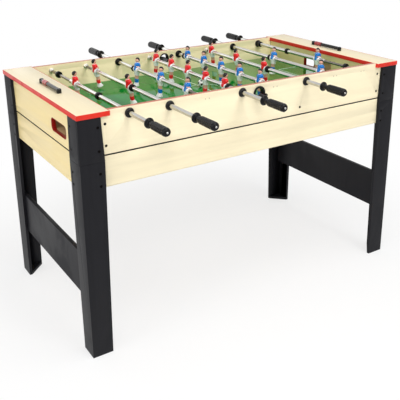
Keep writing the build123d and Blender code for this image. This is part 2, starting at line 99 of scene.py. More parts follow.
# Fits in millimetres that follow the solids
TUBE_R = 8.0
TUBE_BORE = 5.55
INNER_R = 5.5
BUSH_BORE = 8.25
BUSH_R = 11.25
DOME_R = 16.75
DOME_L = 8.0
NUT_R = 16.0
NUT_L = 5.0
STOP_R = 13.0
STOP_FIT = 0.2
FLANGE_R = 10.5
BOSS_R = 7.7
BOSS_END = 14.0
RAIL_R = 7.0
BEAD_FIT = 0.1
GRIP_OVERLAP = 80.0
PLAYER_HALF = 16.5
SNUG = 0.05

# Most of a side that an eased corner takes, as a share
MOST_EASE = 0.48

# Mesh clean-up of the boards: merge distance in metres, angles in degrees
MERGE = 1e-6
FLAT_ANGLE = 0.4
BEVEL_ANGLE = 40.0
LEVEL = 0.9


def colour(name, words, value):
    """A colour a user may change, as it looks on a screen."""
    return FloatVectorProperty(
        name=name, description=words, subtype="COLOR_GAMMA", size=3, min=0.0, max=1.0, default=value
    )


def length(name, words, value):
    """A length a user may change, given in mm and kept in metres."""
    return FloatProperty(name=name, description=words, unit="LENGTH", min=0.0, default=value * MM)


def power(name, value):
    """A lamp's power that a user may change, in watts."""
    words = f"Power of the {name.lower()} lamp"
    return FloatProperty(name=name, description=words, unit="POWER", min=0.0, default=value)


class FinishColours(bpy.types.PropertyGroup):
    """Colours of the finishes."""

    laminate: colour("Laminate", "Front wall and aprons", (0.968, 0.920, 0.785))
    # Copies of the front laminate with painted shade: the top laminate darker, the end laminate darker and
    # yellower, the back laminate yellower, as these boards get less light
    top_laminate: colour("Top laminate", "Top boards", (0.912, 0.858, 0.722))
    end_laminate: colour("End laminate", "End panels", (0.950, 0.868, 0.640))
    back_laminate: colour("Back laminate", "Back wall", (0.985, 0.920, 0.750))
    edging: colour("Edging", "Edge banding of the top boards", (0.84, 0.175, 0.120))
    # Upper edges: a faint pinkish tint of the edges, darkened as painted shade so that the top edges read as
    # a dark line
    board_edge: colour("Board edges", "Upper edges of the upright boards", (0.72, 0.43, 0.35))
    # Groove: near black painted shade on the faces of the groove, where little light gets in
    groove: colour("Groove", "Faces of the groove round the cabinet", (0.09, 0.07, 0.045))
    liner: colour("Liners", "Painted cut edges of the openings", (0.60, 0.09, 0.06))
    charcoal: colour("Charcoal", "Legs, corner covers and cross panels", (0.105, 0.105, 0.120))
    raw_wood: colour("Raw wood", "Battens, ball trays and underside of the pitch", (0.80, 0.68, 0.50))
    pitch: colour("Pitch", "Playing board", (0.050, 0.505, 0.165))
    line: colour("Lines", "Lines on the playing board", (0.90, 0.93, 0.88))
    black: colour("Black", "Bushings, handles and cups", (0.036, 0.036, 0.040))
    chrome: colour("Chrome", "Sliding tubes", (0.78, 0.775, 0.755))
    inner: colour("Inner rods", "Fixed inner rods", (0.50, 0.48, 0.45))
    silver: colour("Silver", "Far flanges", (0.86, 0.86, 0.84))
    screw: colour("Screws", "Dark screw heads", (0.06, 0.05, 0.045))
    pale_screw: colour("Pale screws", "Screws of the far flanges", (0.80, 0.75, 0.63))
    bead: colour("Beads", "Scorer beads", (0.62, 0.09, 0.12))
    ball: colour("Ball", "Ball", (0.95, 0.95, 0.94))
    patch: colour("Patches", "Dark patches of the ball, and eyes", (0.09, 0.09, 0.10))
    red_shirt: colour("Red shirt", "Shirts and socks of the red team", (0.93, 0.13, 0.15))
    blue_shirt: colour("Blue shirt", "Shirts and socks of the blue team", (0.03, 0.47, 0.81))
    white: colour("White", "Shorts, cuffs and boots", (1.0, 0.985, 0.995))
    skin: colour("Skin", "Faces, arms and knees", (0.91, 0.69, 0.60))
    hair: colour("Hair", "Hair", (0.085, 0.055, 0.045))


class PieceSizes(bpy.types.PropertyGroup):
    """Sizes of the turned and moulded details."""

    edge: length("Edge", "Rounding of board edges", 0.7)
    line_width: length("Line width", "Width of the pitch lines", 3.2)
    line_height: length("Line height", "Thickness of the pitch lines", 0.15)
    circle: length("Centre circle", "Radius of the centre circle", 70.0)
    box_depth: length("Box depth", "Depth of the penalty boxes", 135.0)
    box_half: length("Box half width", "Half width of the penalty boxes", 104.0)
    flute_depth: length("Flute depth", "Depth of the flutes in a handle", 1.9)
    flutes: IntProperty(name="Flutes", description="Flutes round a handle", min=4, max=24, default=10)


class StageSettings(bpy.types.PropertyGroup):
    """Light, floor and lens."""

    floor: colour("Floor", "Plain pale floor", (0.975, 0.975, 0.975))
    key_power: power("Key", 48.0)
    top_power: power("Top", 27.0)
    fill_power: power("Fill", 24.0)
    left_power: power("Left", 20.0)
    back_power: power("Back", 15.0)
    sky: FloatProperty(name="Sky", description="Strength of the even light all round", min=0.0, default=0.48)
    lens: FloatProperty(name="Lens", description="Focal length", unit="CAMERA", default=59.8)


class TableSettings(bpy.types.PropertyGroup):
    """All settings of the table."""

    colours: PointerProperty(type=FinishColours)
    sizes: PointerProperty(type=PieceSizes)
    stage: PointerProperty(type=StageSettings)


def settings():
    """The table's settings in this scene."""
    return bpy.context.scene.table_football


def paint(name, share=1.0):
    """A finish colour as linear light with alpha, scaled by share."""
    screen = np.array(getattr(settings().colours, name))
    light = np.where(screen <= 0.04045, screen / 12.92, ((screen + 0.055) / 1.055) ** 2.4)
    return (*np.clip(light * share, 0, 1), 1.0)


# Shapes


class Shape:
    """Points, faces and finish numbers of a piece while it is put together."""

    def __init__(self):
        self.points = []
        self.faces = []
        self.finish = []
        self.total = 0

    def add(self, points, faces, finish):
        """Adds points in any grid layout and one array of faces with their finish number."""
        points = np.asarray(points, float).reshape(-1, 3)
        self.points.append(points)
        self.faces.append(faces + self.total)
        self.finish.append(np.full(len(faces), finish))
        self.total += len(points)

    def skin(self, rings, finish=0, loop=False):
        """Quads between neighbouring rings; a loop joins last to first, other ends close to a point."""
        rings = np.asarray(rings, float)
        count, around = rings.shape[:2]
        row = np.arange(count if loop else count - 1)[:, None] * around
        turn = np.arange(around)[None, :]
        after = (row + around) % (count * around)
        beside = (turn + 1) % around
        quads = np.stack((row + turn, row + beside, after + beside, after + turn), -1)
        first = self.total
        self.add(rings, quads.reshape(-1, 4), finish)
        for end in () if loop else (0, count - 1):
            at = first + end * around + np.arange(around) - self.total
            fan = np.stack((at, np.roll(at, -1), np.zeros(around, int)), -1)
            self.add(rings[end].mean(0), fan, finish)

    def copy_of(self, other, turn, move):
        """Adds another shape, each point turned by a matrix and then moved."""
        self.points.append(np.concatenate(other.points) @ turn.T + move)
        self.faces += [faces + self.total for faces in other.faces]
        self.finish += other.finish
        self.total += other.total

    def mesh(self, name):
        """A mesh of all that was added."""
        made = bpy.data.meshes.new(name)
        faces = [face for block in self.faces for face in block.tolist()]
        made.from_pydata(np.concatenate(self.points), [], faces)
        made.polygons.foreach_set("material_index", np.concatenate(self.finish).astype(np.int32))
        return made


def angles(count):
    """Evenly spaced angles round a full turn."""
    return np.linspace(0, TURN, count, endpoint=False)


def eased(points, ease, steps=4, closed=True):
    """Outline with each corner replaced by a quadratic curve that starts and ends one ease away from it."""
    corner = np.asarray(points, float)
    reach = np.broadcast_to(np.asarray(ease, float), len(corner))[:, None]

    def towards(other):
        step = other - corner
        far = np.maximum(np.linalg.norm(step, axis=1)[:, None], 1e-9)
        return corner + step * np.minimum(reach / far, MOST_EASE)

    start = towards(np.roll(corner, 1, 0))[:, None]
    end = towards(np.roll(corner, -1, 0))[:, None]
    t = np.linspace(0, 1, steps)[None, :, None]
    curve = (1 - t) ** 2 * start + 2 * t * (1 - t) * corner[:, None] + t ** 2 * end
    if closed:
        return curve.reshape(-1, corner.shape[1])
    inner = curve[1:-1].reshape(-1, corner.shape[1])
    return np.concatenate((corner[:1], inner, corner[-1:]))


def through(knots, count):
    """Rows on a curve through knot rows: cubic spans whose slopes are half the neighbours' difference."""
    knots = np.asarray(knots, float)
    place = np.linspace(0, len(knots) - 1, count)
    low = np.minimum(place.astype(int), len(knots) - 2)
    t = (place - low)[:, None]
    slope = np.gradient(knots, axis=0)
    start = (2 * t ** 3 - 3 * t ** 2 + 1) * knots[low] + (t ** 3 - 2 * t ** 2 + t) * slope[low]
    return start + (3 * t ** 2 - 2 * t ** 3) * knots[low + 1] + (t ** 3 - t ** 2) * slope[low + 1]


def turned(profile, x, z, y=0.0, way=1.0, around=48):
    """Profile rows (radius, distance) in mm turned about a line along Y; way is the distance's sign."""
    profile = np.asarray(profile, float) * MM
    angle = angles(around)
    radius, out = profile[:, :1], profile[:, 1:2]
    rings = (x + radius * np.cos(angle), y + way * out + 0 * angle, z + radius * np.sin(angle))
    return np.stack(rings, -1)


def headings(path, closed):
    """Unit directions along a path, from the difference of each point's two neighbours."""
    ahead = np.roll(path, -1, 0) - np.roll(path, 1, 0) if closed else np.gradient(path, axis=0)
    return ahead / np.linalg.norm(ahead, axis=1)[:, None]


def swept(path, radii, around=14, up=(0.0, 0.0, 1.0), closed=False):
    """Round section carried along a path; each ring stands square to the path's direction."""
    path = np.asarray(path, float)
    ahead = headings(path, closed)
    side = np.cross(ahead, up)
    side /= np.linalg.norm(side, axis=1)[:, None]
    over = np.cross(side, ahead)
    angle = angles(around)[None, :, None]
    radii = np.broadcast_to(radii, len(path))[:, None, None]
    return path[:, None] + radii * (np.cos(angle) * side[:, None] + np.sin(angle) * over[:, None])


def globe(middle, radii, rings=10, around=16):
    """Rings of an ellipsoid: circles of latitude scaled by the three radii."""
    rise = np.linspace(-0.5, 0.5, rings + 2)[1:-1, None] * math.pi
    angle = angles(around)
    level = np.cos(rise)
    unit = np.stack((level * np.cos(angle), level * np.sin(angle), np.sin(rise) + 0 * angle), -1)
    return np.asarray(middle) + unit * np.asarray(radii)


def settle(name, mesh, finishes, body, replaced):
    """Puts a mesh into the scene as one object that rides on a body and stands for the nodes named."""
    made = bpy.data.objects.new(name, mesh)
    bpy.context.scene.collection.objects.link(made)
    for finish in finishes:
        mesh.materials.append(finish)
    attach(made, body)
    if replaced:
        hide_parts(*replaced)
    return made


def piece(name, shape, finishes, body, replaced=(), crease=38.0):
    """Makes an object of a shape, with faces outwards and edges sharp above the crease angle in degrees."""
    mesh = shape.mesh(name)
    form = bmesh.new()
    form.from_mesh(mesh)
    bmesh.ops.recalc_face_normals(form, faces=form.faces)
    form.to_mesh(mesh)
    form.free()
    mesh.polygons.foreach_set("use_smooth", np.ones(len(mesh.polygons), bool))
    mesh.set_sharp_from_angle(angle=math.radians(crease))
    return settle(name, mesh, finishes, body, replaced)


def groove_heights():
    """Lower and upper height of the groove round the cabinet."""
    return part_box("front_apron")[1].z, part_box("front_wall")[0].z


def edge_numbers(mesh):
    """Finish number of each face of a board: 1 on upper faces, 2 on level faces in the groove, else 0. On the
    cabinet boards 1 gives the upper faces a pinkish tone darkened as painted shade, and 2 gives the groove's
    faces a near black painted shade.
    """
    normal = np.empty(len(mesh.polygons) * 3)
    middle = np.empty(len(mesh.polygons) * 3)
    mesh.polygons.foreach_get("normal", normal)
    mesh.polygons.foreach_get("center", middle)
    low, high = groove_heights()
    up, height = normal[2::3], middle[2::3]
    inside = (np.abs(up) > LEVEL) & (height > low - MM) & (height < high + MM)
    return np.where(inside, 2, up > LEVEL).astype(np.int32)


def board(node, finish, ease=None, rounds=2, edges=()):
    """Copy of a node's solid with merged corners, flat faces joined, and edges eased by a bevel.
    A board may have further finishes, for its upper faces and for the faces in the groove; on the cabinet
    boards these paint shade along the top edges and in the groove."""
    form = bmesh.new()
    form.from_mesh(frame["nodes"][node].data)
    bmesh.ops.remove_doubles(form, verts=form.verts, dist=MERGE)
    bmesh.ops.dissolve_limit(form, angle_limit=math.radians(FLAT_ANGLE), verts=form.verts, edges=form.edges)
    name = f"{node}_finished"
    mesh = bpy.data.meshes.new(name)
    form.to_mesh(mesh)
    form.free()
    mesh.polygons.foreach_set("use_smooth", np.ones(len(mesh.polygons), bool))
    made = settle(name, mesh, [finish, *edges], "table", (node,))
    if edges:
        mesh.polygons.foreach_set("material_index", edge_numbers(mesh))
    bevel = made.modifiers.new("eased_edges", "BEVEL")
    bevel.width = settings().sizes.edge if ease is None else ease * MM
    bevel.segments = rounds
    bevel.limit_method = "ANGLE"
    bevel.angle_limit = math.radians(BEVEL_ANGLE)
    bevel.harden_normals = True


def node_points(node):
    """Points of a node as an array."""
    mesh = frame["nodes"][node].data
    points = np.empty(len(mesh.vertices) * 3)
    mesh.vertices.foreach_get("co", points)
    return points.reshape(-1, 3)


# Shader effects and finishes


def add(tree, kind, values=None, **marks):
    """Adds a node, sets its marks and then sets or links its inputs."""
    made = tree.nodes.new(kind)
    for key, value in marks.items():
        setattr(made, key, value)
    for key, value in (values or {}).items():
        if isinstance(value, bpy.types.NodeSocket):
            tree.links.new(value, made.inputs[key])
        else:
            made.inputs[key].default_value = value
    return made


def blend(tree, share, low, high):
    """Colour between two colours or sockets by a share."""
    made = add(tree, "ShaderNodeMix", {0: share, 6: low, 7: high}, data_type="RGBA")
    return made.outputs[2]


def ramp(tree, value, low, high, to_low=0.0, to_high=1.0):
    """Value carried from one range to another, smoothly and held at the ends."""
    ranges = {"Value": value, "From Min": low, "From Max": high, "To Min": to_low, "To Max": to_high}
    return add(tree, "ShaderNodeMapRange", ranges, interpolation_type="SMOOTHSTEP").outputs["Result"]


def reckon(tree, action, a, b=0.0, c=0.0):
    """Result of one action on up to three values."""
    return add(tree, "ShaderNodeMath", {0: a, 1: b, 2: c}, operation=action).outputs[0]


def times(tree, a, b):
    """Product of two values."""
    return reckon(tree, "MULTIPLY", a, b)


def stretched(tree, vector, scales):
    """Vector scaled along each axis."""
    return add(tree, "ShaderNodeVectorMath", {0: vector, 1: scales}, operation="MULTIPLY").outputs[0]


def noise(tree, vector, scale, detail=3.0, rough=0.5, twist=0.0):
    """Noise value at a vector."""
    values = {"Vector": vector, "Scale": scale, "Detail": detail, "Roughness": rough, "Distortion": twist}
    return add(tree, "ShaderNodeTexNoise", values).outputs["Fac"]


def effect(name, inputs, outputs):
    """Empty node group with named sockets, given with the sockets of its two end nodes.
    An input is named with its default, one number or three for a vector."""
    tree = bpy.data.node_groups.new(name, "ShaderNodeTree")
    for label, value in inputs.items():
        kind = "NodeSocketFloat" if isinstance(value, float) else "NodeSocketVector"
        tree.interface.new_socket(label, in_out="INPUT", socket_type=kind).default_value = value
    for label in outputs:
        tree.interface.new_socket(label, in_out="OUTPUT", socket_type="NodeSocketFloat")
    return tree, tree.nodes.new("NodeGroupInput").outputs, tree.nodes.new("NodeGroupOutput").inputs


def wood_figure():
    """Effect: long fine streaks, slow waves of growth rings and short pores, stretched along the grain."""
    inputs = {"Vector": (0.0, 0.0, 0.0), "Stretch": (1.0, 1.0, 1.0), "Waves": 2.0}
    tree, given, out = effect("wood_figure", inputs, ("Streak", "Pore"))
    place = stretched(tree, given["Vector"], given["Stretch"])
    fine = noise(tree, place, 6.0, detail=6.0, rough=0.62, twist=0.3)
    slow = noise(tree, place, 0.9, detail=2.0, twist=0.8)
    swell = times(tree, slow, times(tree, given["Waves"], TURN))
    rings = reckon(tree, "MULTIPLY_ADD", reckon(tree, "SINE", swell), 0.5, 0.5)
    streak = reckon(tree, "MULTIPLY_ADD", rings, 0.34, times(tree, fine, 0.66))
    pore = ramp(tree, noise(tree, place, 17.0, detail=4.0, rough=0.7), 0.62, 0.78)
    tree.links.new(streak, out["Streak"])
    tree.links.new(pore, out["Pore"])
    return tree


def handling():
    """Effect: cloudy smears of use and small rubbed spots, as masks from 0 to 1."""
    inputs = {"Vector": (0.0, 0.0, 0.0), "Scale": 6.0}
    tree, given, out = effect("handling", inputs, ("Smear", "Rub"))
    cloud = noise(tree, given["Vector"], given["Scale"], detail=5.0, rough=0.6, twist=0.9)
    spots = noise(tree, given["Vector"], times(tree, given["Scale"], 9.0), detail=6.0, rough=0.7)
    tree.links.new(ramp(tree, cloud, 0.42, 0.68), out["Smear"])
    tree.links.new(ramp(tree, spots, 0.60, 0.76), out["Rub"])
    return tree


def moulded_skin():
    """Effect: height of a moulded surface, fine grain over slow sink marks."""
    inputs = {"Vector": (0.0, 0.0, 0.0), "Grain": 1800.0}
    tree, given, out = effect("moulded_skin", inputs, ("Height",))
    fine = noise(tree, given["Vector"], given["Grain"], detail=2.0)
    slow = noise(tree, given["Vector"], times(tree, given["Grain"], 0.06), detail=2.0)
    tree.links.new(reckon(tree, "MULTIPLY_ADD", fine, 0.45, slow), out["Height"])
    return tree


class Finish:
    """A material under construction: its tree, its shader and its Object coordinates."""

    def __init__(self, name):
        self.material = bpy.data.materials.new(name)
        self.material.use_nodes = True
        self.tree = self.material.node_tree
        self.shader = self.tree.nodes["Principled BSDF"]
        self.place = self.tree.nodes.new("ShaderNodeTexCoord").outputs["Object"]

    def use(self, sketch, **values):
        """Places an effect, built the first time it is used, and gives its outputs."""
        made = self.tree.nodes.new("ShaderNodeGroup")
        made.node_tree = bpy.data.node_groups.get(sketch.__name__) or sketch()
        self.tree.links.new(self.place, made.inputs["Vector"])
        for key, value in values.items():
            made.inputs[key].default_value = value
        return made.outputs

    def tint(self, mask, tone, low, high):
        """Colour between two shares of one tone's light, by a mask."""
        return blend(self.tree, mask, paint(tone, low), paint(tone, high))

    def spots(self, ground, mask, amount, over):
        """Ground with another colour over it, by an amount of a mask."""
        return blend(self.tree, times(self.tree, mask, amount), ground, over)

    def gloss(self, mask, smooth, rough):
        """Roughness between two values, by a mask."""
        return ramp(self.tree, mask, 0.0, 1.0, smooth, rough)

    def set(self, **values):
        """Sets or links the shader's sockets; underscores stand for spaces."""
        for key, value in values.items():
            socket = self.shader.inputs[key.replace("_", " ")]
            if isinstance(value, bpy.types.NodeSocket):
                self.tree.links.new(value, socket)
            else:
                socket.default_value = value

    def bump(self, height, strength, distance):
        """Relief from a height, distance in mm."""
        relief = {"Height": height, "Strength": strength, "Distance": distance * MM}
        self.set(Normal=add(self.tree, "ShaderNodeBump", relief).outputs["Normal"])


def recipe(make):
    """Turns a recipe into a maker that takes the finish's name first and builds each finish only once."""

    @functools.wraps(make)
    def give(name, *values, **marks):
        full_name = f"{name}_finish"
        ready = bpy.data.materials.get(full_name)
        if ready is None:
            made = Finish(full_name)
            make(made, *values, **marks)
            ready = made.material
        return ready

    return give


# How far patterns are drawn out along the grain of the boards and along the rods
GRAIN_X = (1.4, 26.0, 26.0)
GRAIN_Y = (26.0, 1.4, 26.0)
GRAIN_BARE = (2.0, 24.0, 24.0)
GRAIN_UP = (38.0, 38.0, 2.2)
DRAWN_Y = (30.0, 0.6, 30.0)
EVEN = (1.0, 1.0, 1.0)

# Height in metres over which the painted shade behind the groove fades
SHADE_FADE = 2 * MM


@recipe
def laminate(made, tone, stretch):
    """Pale printed laminate: streaks and pores along the grain, a satin skin with smears of use."""
    wood = made.use(wood_figure, Stretch=stretch, Waves=3.0)
    use = made.use(handling, Scale=2.6)
    ground = made.tint(wood["Streak"], tone, 0.95, 1.03)
    made.set(
        Base_Color=made.spots(ground, wood["Pore"], 0.12, paint(tone, 0.74)),
        Roughness=made.gloss(use["Smear"], 0.36, 0.47),
        Specular_IOR_Level=0.35,
    )
    made.bump(wood["Streak"], 0.2, 0.04)


@recipe
def raw_wood(made):
    """Bare board: strong streaks, dark pores and a dull skin, with painted shade in the groove's dark colour
    on the band behind the groove.
    """
    wood = made.use(wood_figure, Stretch=GRAIN_BARE, Waves=5.0)
    ground = made.tint(wood["Streak"], "raw_wood", 0.72, 1.08)
    ground = made.spots(ground, wood["Pore"], 0.5, paint("raw_wood", 0.5))
    # The band at the groove's height takes the groove's dark colour: painted shade where the board lies
    # behind the groove
    height = add(made.tree, "ShaderNodeSeparateXYZ", {0: made.place}).outputs["Z"]
    low, high = groove_heights()
    above = ramp(made.tree, height, low - SHADE_FADE, low)
    below = ramp(made.tree, height, high, high + SHADE_FADE, 1.0, 0.0)
    made.set(
        Base_Color=blend(made.tree, times(made.tree, above, below), ground, paint("groove")),
        Roughness=made.gloss(wood["Streak"], 0.72, 0.6),
    )
    made.bump(wood["Streak"], 0.5, 0.15)


@recipe
def charcoal(made):
    """Dark melamine board: fine upright streaks, a pressed texture and paler rubbed spots."""
    wood = made.use(wood_figure, Stretch=GRAIN_UP, Waves=2.0)
    use = made.use(handling, Scale=3.2)
    ground = made.tint(wood["Streak"], "charcoal", 0.84, 1.18)
    made.set(
        Base_Color=made.spots(ground, use["Rub"], 0.05, paint("charcoal", 3.0)),
        Roughness=made.gloss(use["Smear"], 0.46, 0.58),
        Specular_IOR_Level=0.14,
    )
    made.bump(wood["Streak"], 0.35, 0.06)


@recipe
def edging(made, tone):
    """Edge band, painted edge, and painted shade along the boards' top edges and in the groove: even colour
    with faint smears and rubbed spots.
    """
    use = made.use(handling, Scale=9.0)
    skin = made.use(moulded_skin, Grain=900.0)
    ground = made.tint(use["Smear"], tone, 1.04, 0.90)
    made.set(
        Base_Color=made.spots(ground, use["Rub"], 0.05, paint("white", 0.8)),
        Roughness=made.gloss(use["Smear"], 0.36, 0.48),
        Specular_IOR_Level=0.25,
    )
    made.bump(skin["Height"], 0.2, 0.05)


@recipe
def pitch_board(made):
    """Green printed board under clear varnish: cloudy green with a fine speckle, duller in smears."""
    use = made.use(handling, Scale=7.0)
    speckle = noise(made.tree, made.place, 900.0, rough=0.6)
    ground = made.tint(use["Smear"], "pitch", 0.95, 1.06)
    dark = ramp(made.tree, speckle, 0.45, 0.75, 0.0, 0.12)
    made.set(
        Base_Color=blend(made.tree, dark, ground, paint("pitch", 0.7)),
        Roughness=made.gloss(use["Smear"], 0.05, 0.09),
        Specular_IOR_Level=0.18,
    )
    made.bump(speckle, 0.04, 0.02)


@recipe
def pitch_paint(made):
    """White printed line: slightly worn through to the green in spots."""
    use = made.use(handling, Scale=26.0)
    made.set(
        Base_Color=made.spots(paint("line"), use["Rub"], 0.35, paint("pitch", 1.4)),
        Roughness=made.gloss(use["Smear"], 0.28, 0.42),
    )


@recipe
def bright_metal(made, tone, smooth, rough, stretch=EVEN):
    """Bright metal: fine scratches along the stretch and dull smears."""
    use = made.use(handling, Scale=14.0)
    scratch = noise(made.tree, stretched(made.tree, made.place, stretch), 40.0, detail=4.0, rough=0.7)
    made.set(
        Base_Color=made.tint(use["Smear"], tone, 1.0, 0.90),
        Metallic=1.0,
        Roughness=made.gloss(use["Smear"], smooth, rough),
    )
    made.bump(scratch, 0.08, 0.02)


@recipe
def plastic(made, tone, smooth, rough, grain=1500.0, coat=0.0, relief=0.25, wear=0.06, shine=0.5):
    """Moulded plastic: one colour with cloudy tone, paler rubbed spots and a fine moulded skin."""
    use = made.use(handling, Scale=24.0)
    skin = made.use(moulded_skin, Grain=grain)
    ground = made.tint(use["Smear"], tone, 0.90, 1.08)
    made.set(
        Base_Color=made.spots(ground, use["Rub"], wear, paint("silver", 0.7)),
        Roughness=made.gloss(use["Smear"], smooth, rough),
        Coat_Weight=coat,
        Coat_Roughness=0.12,
        Specular_IOR_Level=shine,
    )
    made.bump(skin["Height"], relief, 0.05)


@recipe
def ball_skin(made):
    """White ball with dark patches where the mesh's own patch value is above zero."""
    use = made.use(handling, Scale=60.0)
    mark = add(made.tree, "ShaderNodeAttribute", attribute_name="patch").outputs["Fac"]
    ground = made.tint(use["Smear"], "ball", 1.0, 0.92)
    made.set(
        Base_Color=blend(made.tree, ramp(made.tree, mark, -0.012, 0.012), ground, paint("patch")),
        Roughness=made.gloss(use["Smear"], 0.26, 0.40),
    )


def gloss_black():
    """Glossy black plastic of the scorers and serve cups."""
    return plastic("black_gloss", "black", 0.10, 0.18, grain=1200.0, relief=0.1, wear=0.01, shine=0.3)


# Boards and pitch


def cabinet_boards():
    """Walls, aprons, end panels, goal walls, top boards, edging and liners."""
    # The back wall, top boards, end panels and goal walls take the laminate copies that carry painted shade
    along = laminate("laminate_along", "laminate", GRAIN_X)
    back = laminate("laminate_back", "back_laminate", GRAIN_X)
    across = laminate("laminate_across", "top_laminate", GRAIN_Y)
    ends = laminate("laminate_ends", "end_laminate", GRAIN_Y)
    # The upward faces get the pinkish tone darkened as painted shade; the groove's faces get a near black
    # painted shade
    edges = edging("board_edge", "board_edge"), edging("groove_shade", "groove")
    for node in ("front_wall", "front_apron", "back_apron"):
        board(node, along, edges=edges)
    board("back_wall", back, edges=edges)
    for node in ("left_end_panel", "right_end_panel", "end_aprons"):
        board(node, ends, edges=edges)
    board("goal_walls", ends)
    for node in ("left_top_board", "right_top_board"):
        board(node, across, 0.4)
    board("red_edging", edging("red_edge_band", "edging"), 0.5)
    board("opening_liners", edging("red_liner", "liner"), 0.3)


def leg_boards():
    """Angle legs, corner covers and cross panels."""
    for node in ("left_legs", "right_legs", "corner_covers", "cross_panels"):
        board(node, charcoal("charcoal_board"), 1.0, 3)


def hidden_boards():
    """Battens and corner posts under the boards, and the sloping ball trays."""
    for node in ("cabinet_battens", "ball_trays"):
        board(node, raw_wood("raw_wood"), 0.6)


# Pitch lines in metres: gap to the boards round them, and how far they reach into the playing board
LINE_GAP = MM
LINE_SINK = 0.1 * MM


def ribbon(path, width, height, floor):
    """Flat strip along a path in the plane: four corners, half a width to each side, standing on a floor."""
    path = np.asarray(path, float)
    ahead = headings(path, False)
    side = np.stack((-ahead[:, 1], ahead[:, 0]), -1) * width / 2
    low = np.full((len(path), 1), floor)
    corners = (
        np.hstack((path + side, low)),
        np.hstack((path + side, low + height)),
        np.hstack((path - side, low + height)),
        np.hstack((path - side, low)),
    )
    return np.stack(corners, 1)


def pitch():
    """Playing board, green on its upper face, with halfway line, centre circle and penalty boxes."""
    board("playfield", raw_wood("raw_wood"), 0.4, edges=(pitch_board("green_pitch"),))
    sizes = settings().sizes
    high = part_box("playfield")[1]
    end = np.abs(node_points("goal_walls")[:, 0]).min() - LINE_GAP
    side = high.y - LINE_GAP
    strip = sizes.line_width, sizes.line_height + LINE_SINK, high.z - LINE_SINK
    lines = Shape()
    lines.skin(ribbon(((0.0, -side), (0.0, side)), *strip))
    angle = angles(96)
    circle = sizes.circle * np.stack((np.cos(angle), np.sin(angle)), -1)
    lines.skin(ribbon(circle, *strip), loop=True)
    half = sizes.box_half
    front = end - sizes.box_depth
    for way in (-1.0, 1.0):
        lines.skin(ribbon(((way * front, -half), (way * front, half)), *strip))
        for edge in (-half, half):
            path = ((way * (front + sizes.line_width / 2), edge), (way * end, edge))
            lines.skin(ribbon(path, *strip))
    piece("pitch_lines", lines, [pitch_paint("pitch_lines")], "table")


# Rods and what carries them


def bush_profile(wall):
    """Outline of a bushing from the wall's outer face: dome outside, shank through the wall, nut inside."""
    nut = -wall - NUT_L
    corners = (
        (BUSH_BORE, DOME_L), (9.6, DOME_L), (12.8, 7.2), (15.4, 4.6), (DOME_R, 1.8), (DOME_R, SNUG),
        (BUSH_R, SNUG), (BUSH_R, -wall), (14.2, -wall - SNUG), (NUT_R, -wall - SNUG), (NUT_R, nut + 0.8),
        (14.9, nut), (12.2, nut), (11.7, nut + 0.5), (BUSH_BORE, nut + 0.5),
    )
    return eased(corners, 0.9)


def ring_profile(bore, radius, tall, depth, share, ease):
    """Outline of a ring with a shallow groove round its middle, a share of its height to each side."""
    corners = (
        (bore, 0.0), (radius, 0.0), (radius, tall * (0.5 - share)), (radius - depth, tall * 0.5),
        (radius, tall * (0.5 + share)), (radius, tall), (bore, tall),
    )
    return eased(corners, ease)


def flange_profile():
    """Outline of a far flange from the wall's inner face: a low disc and a boss that holds the inner rod."""
    corners = (
        (INNER_R, 0.0), (FLANGE_R, 0.0), (FLANGE_R, 3.0), (9.8, 3.9), (8.6, 4.1), (BOSS_R + 0.1, 4.9),
        (BOSS_R, BOSS_END - 0.9), (BOSS_R - 0.8, BOSS_END), (INNER_R, BOSS_END),
    )
    return eased(corners, 0.8)


def stop_rings(rod, inner):
    """Rings that stop a keeper rod: on the tube against the nut, and on the inner rod near the far wall.
    Points deeper than most of the nut belong to the near ring, those on the far side to the far ring."""
    points = node_points("rod_bushings")
    place = points[np.abs(points[:, 0] - rod.x) < 2 * NUT_R * MM, 1]
    near = place[(place * rod.side > 0) & (np.abs(place) < inner - 0.8 * NUT_L * MM)]
    far = place[place * rod.side < 0]
    for places, bore in ((near, TUBE_R + STOP_FIT), (far, INNER_R)):
        tall = (places.max() - places.min()) / MM
        yield turned(ring_profile(bore, STOP_R, tall, 0.8, 0.08, 0.9), rod.x, rod.z, places.min())


def bushings():
    """Bushings in the walls, stop rings of the keeper rods, far flanges and fixed inner rods."""
    bush, flange, rods = Shape(), Shape(), Shape()
    inner, outer = (corner.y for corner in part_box("back_wall"))
    inner_points = node_points("inner_rods")
    shank = bush_profile((outer - inner) / MM)
    disc = flange_profile()
    for rod in RODS:
        bush.skin(turned(shank, rod.x, rod.z, rod.side * outer, rod.side, 56), loop=True)
        for ring in stop_rings(rod, inner) if rod.men == 1 else ():
            bush.skin(ring, loop=True)
        flange.skin(turned(disc, rod.x, rod.z, -rod.side * inner, rod.side), loop=True)
        own = inner_points[np.abs(inner_points[:, 0] - rod.x) < 2 * INNER_R * MM, 1] / MM
        start, end = own.min(), own.max()
        bar = ((INNER_R - 0.9, start), (INNER_R, start + 0.9), (INNER_R, end - 0.9), (INNER_R - 0.9, end))
        rods.skin(turned(eased(bar, 0.5, closed=False), rod.x, rod.z, around=40))
    black = plastic("black_plastic", "black", 0.22, 0.34, wear=0.02, shine=0.26)
    silver = bright_metal("silver_flange", "silver", 0.36, 0.50)
    steel = bright_metal("inner_steel", "inner", 0.20, 0.32, DRAWN_Y)
    piece("rod_bushings_finished", bush, [black], "table", ("rod_bushings",))
    piece("rod_flanges_finished", flange, [silver], "table", ("rod_flanges",))
    piece("inner_rods_finished", rods, [steel], "table", ("inner_rods",))


# Rivet head at the plugged end of a tube, in mm
RIVET_R = 3.6
RIVET_H = 4.6


